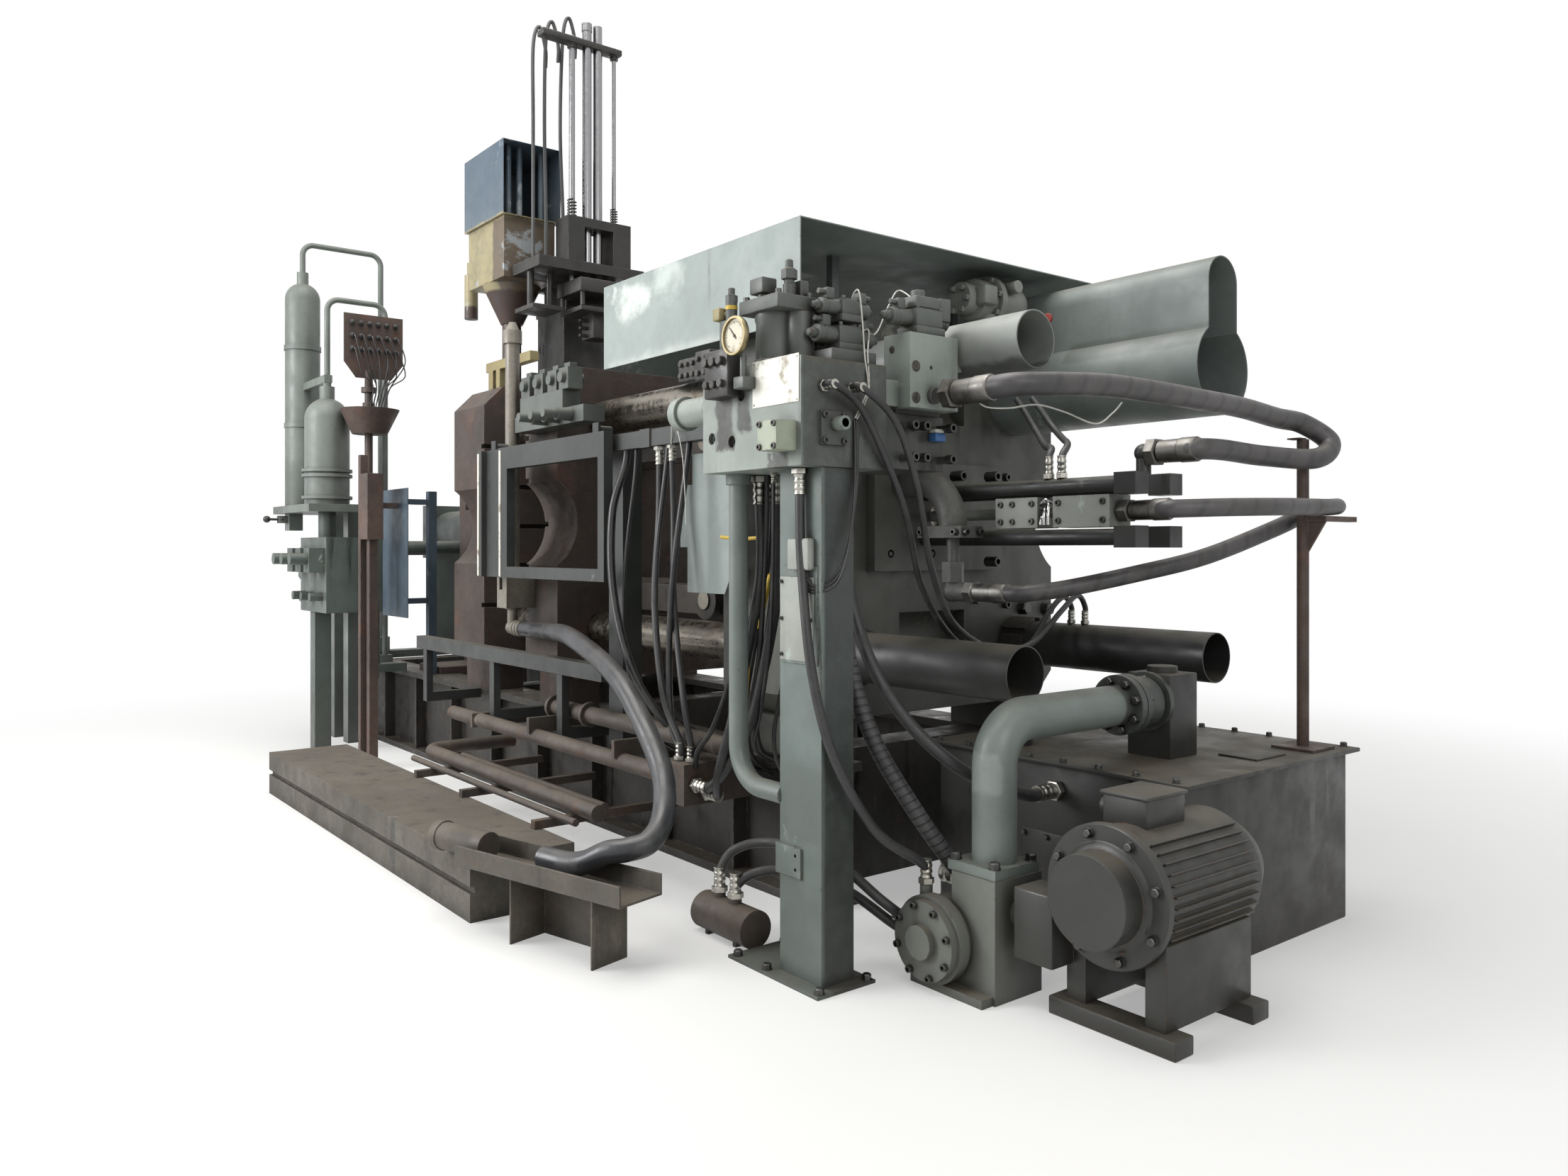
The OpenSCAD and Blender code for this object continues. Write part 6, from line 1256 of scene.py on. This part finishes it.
# %% Cables
UNDER = 1842
BED = -822
RAIL = [-1090, 2050]
cables = [
    (20, [[2380, -1140, UNDER], [2380, -1140, 1760], [2372, -1150, 1500], [2300, -1160, 1180], [2180, -1130, 860],
          [2050, -1020, 640], [1980, -860, 560], [1960, BED, 540]]),
    (24, [[2420, -1110, UNDER], [2420, -1110, 1740], [2420, -1120, 1450], [2360, -1130, 1150], [2240, -1110, 880],
          [2120, -1000, 700], [2060, -860, 640], [2050, BED, 630]]),
    (18, [[2560, -1120, UNDER], [2560, -1120, 1700], [2540, -1130, 1350], [2440, -1130, 1020], [2330, -1090, 780],
          [2240, -980, 620], [2200, -850, 560], [2200, BED, 550]]),
    (16, [[2600, -1300, UNDER], [2600, -1300, 1720], [2570, -1280, 1460], [2480, -1230, 1160], [2360, -1180, 900],
          [2200, -1090, 720], [2130, -900, 620], [2120, BED, 600]]),
    (22, [[2340, -1250, UNDER], [2340, -1250, 1760], [2320, -1240, 1420], [2200, -1210, 1050], [2040, -1190, 800],
          [1930, -1190, 690], [1900, -1185, 640], [1890, -1180, 600]]),
    (14, [[2650, -1150, UNDER], [2650, -1150, 1700], [2640, -1160, 1420], [2600, -1150, 1180], [2500, -1120, 980],
          [2380, -1040, 820], [2320, -880, 700], [2310, BED, 690]]),
    (9, [[2862, -1384, 1478], [2866, -1384, 1430], [2920, -1372, 1398], [3000, -1330, 1430], [3014, -1285, 1560],
         [2990, -1238, 1760], [2982, -1228, 1900], [2976, -1226, 2010]]),
    (9, [[2880, -1384, 1478], [2884, -1384, 1438], [2925, -1370, 1410], [2994, -1326, 1446], [3004, -1275, 1566],
         [2982, -1224, 1764], [2980, -1218, 1900], [2974, -1214, 2012]]),
    (9, [[2898, -1384, 1478], [2902, -1384, 1446], [2930, -1368, 1422], [2986, -1322, 1460], [2994, -1268, 1572],
         [2976, -1214, 1768], [2976, -1210, 1900], [2972, -1204, 2014]]),
    (30, [[1700, *RAIL], [1700, -1096, 1960], [1690, -1160, 1500], [1660, -1170, 1100], [1700, -1180, 760],
          [1780, -1160, 640], [1800, -1060, 560], [1800, BED, 520]]),
    (26, [[1525, *RAIL], [1525, -1096, 1960], [1520, -1150, 1500], [1530, -1155, 1100], [1580, -1130, 850],
          [1650, -1000, 700], [1660, -860, 620], [1660, BED, 560]]),
    (40, [[1150, *RAIL], [1150, -1100, 1960], [1164, -1180, 1720], [1240, -1216, 1340], [1400, -1204, 980],
          [1560, -1110, 740], [1620, -940, 630], [1620, BED, 570]]),
    (22, [[2480, -1240, UNDER], [2480, -1240, 1700], [2460, -1240, 1430], [2390, -1210, 1130], [2260, -1160, 880],
          [2120, -1060, 700], [2010, -900, 590], [2000, BED, 570]]),
    (16, [[2440, -1330, UNDER], [2440, -1330, 1710], [2420, -1310, 1440], [2330, -1270, 1150], [2190, -1210, 900],
          [2060, -1100, 730], [1930, -920, 600], [1920, BED, 560]]),
    (18, [[1240, *RAIL], [1240, -1100, 1900], [1230, -1150, 1450], [1250, -1160, 1100], [1350, -1150, 800],
          [1440, -1060, 640], [1450, -900, 560], [1450, BED, 540]]),
]
show("side_cables", [hose(r, d, 10, 12) for d, r in cables], cable_skin)
print("cables", len(cables), "made", made[-1])

# %% [markdown]
# ## Wires, sleeves and bent tubes
# The thinnest lines catch the eye because they are pale or bright: white signal wires between the valves, sleeves
# of yellow tape round two cables and short bent tubes on the ram block. They are made as the cables are.

# %% Wires, sleeves and bent tubes
wires = [
    (6, [[2868, -1150, 2450], [2890, -1150, 2490], [2917, -1150, 2487], [2940, -1155, 2380], [2965, -1165, 2240],
         [2986, -1168, 2136], [2992, -1196, 2080], [2980, -1226, 2017]]),
    (6, [[2868, -1130, 2330], [2900, -1090, 2360], [2952, -1140, 2257], [2988, -1166, 2136], [2994, -1190, 2074],
         [2980, -1218, 2014]]),
    (6, [[2900, -850, 2500], [2812, -850, 2554], [2840, -930, 2480], [2880, -1030, 2360], [2868, -1100, 2330]]),
    (6, [[3224, -853, 2080], [3250, -830, 2060], [3290, -760, 2058], [3300, -620, 2080], [3330, -500, 2060],
         [3380, -380, 2020], [3420, -330, 2060], [3440, -300, 2100]]),
    (5, [[1600, -1120, 2030], [1640, -1140, 2120], [1700, -1150, 2080], [1740, -1150, 1960], [1760, -1150, 1800],
         [1770, -1150, 1660]]),
]
show("signal_wires", [hose(r, d, 10, 8) for d, r in wires], white_cable)
sleeve_paths = [(24, [[2412, -1168, 1450], [2372, -1170, 1345], [2330, -1168, 1234]]),
                (24, [[2262, -1165, 1110], [2244, -1168, 1000], [2234, -1165, 893]]),
                (15, [[2240, -1290, 1600], [2330, -1260, 1592], [2420, -1230, 1596]])]
show("yellow_sleeves", [hose(r, d, 8, 14) for d, r in sleeve_paths], yellow_sleeve)
lines = [(16, [[2900, -112, 1744], [2936, -118, 1744], [2960, -130, 1738], [2966, -140, 1700], [2966, -140, 1652]]),
         (16, [[2900, -112, 1722], [2924, -118, 1722], [2940, -130, 1716], [2944, -140, 1690], [2944, -140, 1652]]),
         (16, [[2900, -112, 1688], [2912, -118, 1688], [2922, -128, 1682], [2924, -134, 1668], [2924, -136, 1652]]),
         (18, [[2980, -112, 1744], [2958, -116, 1752], [2940, -118, 1760], [2920, -116, 1752], [2900, -112, 1740]])]
show("bent_tubes", [hose(r, d, 8, 14) for d, r in lines], pipe_chrome)
RAM_TOP = 1842
thin = [(30, [[2500, 210, 2252], [2560, 205, 2180], [2640, 190, 2080], [2740, 120, 2010], [2860, 0, 1990],
              [2935, -80, 1970], [2950, -115, 1930], [2950, -115, RAM_TOP]]),
        (30, [[2560, 250, 2252], [2620, 240, 2190], [2700, 230, 2100], [2800, 170, 2040], [2920, 40, 2010],
              [3000, -60, 1980], [3016, -115, 1930], [3016, -115, RAM_TOP]])]
show("ram_hoses", [hose(r, d, 10, 14) for d, r in thin], grey_hose)
fittings = [place(nut(42, 26), (x, -115, RAM_TOP), UP) for x in (2950, 3016)]
fittings += [place(crimp(36, 70), (x, -115, RAM_TOP + 26), UP) for x in (2950, 3016)]
FROM_BLOCK = 6
for d, r in cables[:FROM_BLOCK]:
    fittings.append(place(nut(d * 1.6, d * 0.8), r[0], DOWN))
    fittings.append(place(crimp(d * 1.25, d * 1.8), np.array(r[0]) - [0, 0, d * 0.8], DOWN))
show("small_fittings", fittings, zinc)
print("made", made[-5:])

# %% [markdown]
# ## The plug plate and the guard's edge strips
# At the injection end a sheet of steel carries three rows of round plugs, with wires that sag into the funnel
# below. The guard's two upright edges are painted white, so that nobody walks into them. Both are small things
# that the eye finds first.

# %% Plug plate and guard strips
PLUG_X, PLUG_Y, PLUG_Z = -2876, (-1159, -1093, -1027, -961, -895, -829), (3290, 3190, 3090)
plugs = [place(lathe([(20, 0), (20, 12), (16, 15), (16, 30), (9, 34), (9, 46)], 20), (PLUG_X, y, z), RIGHT)
         for y in PLUG_Y for z in PLUG_Z]
show("wire_plugs", plugs, dark_rubber)
plug_wires = [(9, [[PLUG_X + 40, y, z], [PLUG_X + 66, y + 6, z - 20], [PLUG_X + 80, y + 50, z - 190],
                   [PLUG_X + 78, -960 + (y + 994) * 0.4, 2800], [PLUG_X + 60, -990 + (y + 994) * 0.3, 2640],
                   [PLUG_X + 40, -1010, 2500], [PLUG_X + 34, -1020, 2450]]) for y in PLUG_Y for z in PLUG_Z[1:]]
show("plug_wires", [hose(r, d, 8, 8) for d, r in plug_wires], cable_skin)
strips = [soft_box([x, -1193, 1394], [x + 24, -1188, 2116], 1.5) for x in (-428, -124)]
show("guard_edge_strips", strips, white_edge, body="guard")
print("made", made[-3:])

# %% [markdown]
# ## The column's plate and box
# Halfway up the column a pale cover plate is held by six screws, under a small box that three cables enter. Both
# are soft boxes a few millimetres in front of the column's face.

# %% Plate and box on the column
column_bits = [soft_box([2732, -1372, 1150], [2922, -1366, 1452], 2, 2),
               soft_box([2806, -1400, 1476], [2926, -1365, 1590], 10, 2)]
show("column_plate", column_bits, pale_paint)
plate_corners = [(x, -1372, z) for x in (2744, 2910) for z in (1170, 1300, 1434)]
show("column_plate_screws", screws(cap_screw(14, 8), plate_corners, FRONT), black_screw)
print("made", made[-2:])

# %% [markdown]
# ## The pressure gauge
# A dial gauge stands on the block's front. Its case is a turned ring, its face a flat disc set into it, and the
# ticks are laid out by angle: from 45 degrees left of straight down, round the top, to 45 degrees right of it.

# %% Pressure gauge
GAUGE = np.array([2680.0, -1524.0, 2318.0])
FIRST_TICK, TICK_STEP, TICK_RADIUS = 225, 9, 54
case = lathe([(70, 0), (72, 4), (72, 20), (70, 23), (62, 23), (60, 12), (0.5, 12)], 40)
dial = lathe([(61, 0), (61, 1.5), (0.5, 1.5)], 40)
show("gauge_case", place(case, GAUGE, FRONT), brass)
show("gauge_dial", place(dial, GAUGE + [0, -12.2, 0], FRONT), dial_face)
ticks = []
for k in range(31):
    a = math.radians(FIRST_TICK - TICK_STEP * k)
    long = 10 if k % 5 == 0 else 5
    c, s = math.cos(a), math.sin(a)
    mid = GAUGE + np.array([c * (TICK_RADIUS - long / 2), -14.3, s * (TICK_RADIUS - long / 2)])
    box = soft_box([-long / 2, -0.9, -0.4], [long / 2, 0.9, 0.4], 0.3)
    v = box[0]
    turned = np.stack([v[:, 0] * c - v[:, 1] * s, v[:, 2], v[:, 0] * s + v[:, 1] * c], 1)
    ticks.append((turned + mid, [f[:, ::-1] for f in box[1]]))
NEEDLE_ANGLE = 2.3
needle = np.array([[-14, -3], [-14, 3], [44, 0.8], [44, -0.8]], float)
c, s = math.cos(NEEDLE_ANGLE), math.sin(NEEDLE_ANGLE)
flat = np.stack([needle[:, 0] * c - needle[:, 1] * s, np.zeros(4), needle[:, 0] * s + needle[:, 1] * c], 1)
needle_v = np.concatenate([flat + GAUGE + [0, -16, 0], flat + GAUGE + [0, -15, 0]])
needle_f = np.array([[0, 1, 2, 3], [7, 6, 5, 4], [0, 4, 5, 1], [1, 5, 6, 2], [2, 6, 7, 3], [3, 7, 4, 0]])
ticks.append((needle_v, [needle_f[:, ::-1]]))
ticks.append(place(lathe([(5, 0), (5, 3), (3, 4)], 16), GAUGE + [0, -14, 0], FRONT))
show("gauge_marks", ticks, dial_ink)
print("made", made[-3:])

# %% [markdown]
# ## The bare plate
# On the block's front a pale plate is riveted. On the real machine it carries words; here it stays bare, with
# only its stains and four rivets. It's a box 2.5 mm thick with a fine rim, so that it casts a thin shadow.

# %% Plate on the near block
plate = soft_box([2692, -1467.5, 2060], [2960, -1465, 2228], 1.2)
show("bare_plate", plate, white_plate)
rivet = lathe([(4.5, 0), (4.5, 1), (2, 3)], 12)
rivets = screws(rivet, [(x, -1467.5, z) for x in (2702, 2950) for z in (2070, 2218)], FRONT)
show("plate_rivets", rivets, zinc)
print("made", made[-2:])

# %% [markdown]
# ## The end
# The script ends by printing how many pieces it made and how many triangles they have.

# %% Count the pieces and finish
print("pieces", len(made), "triangles", sum(t for _, t in made))
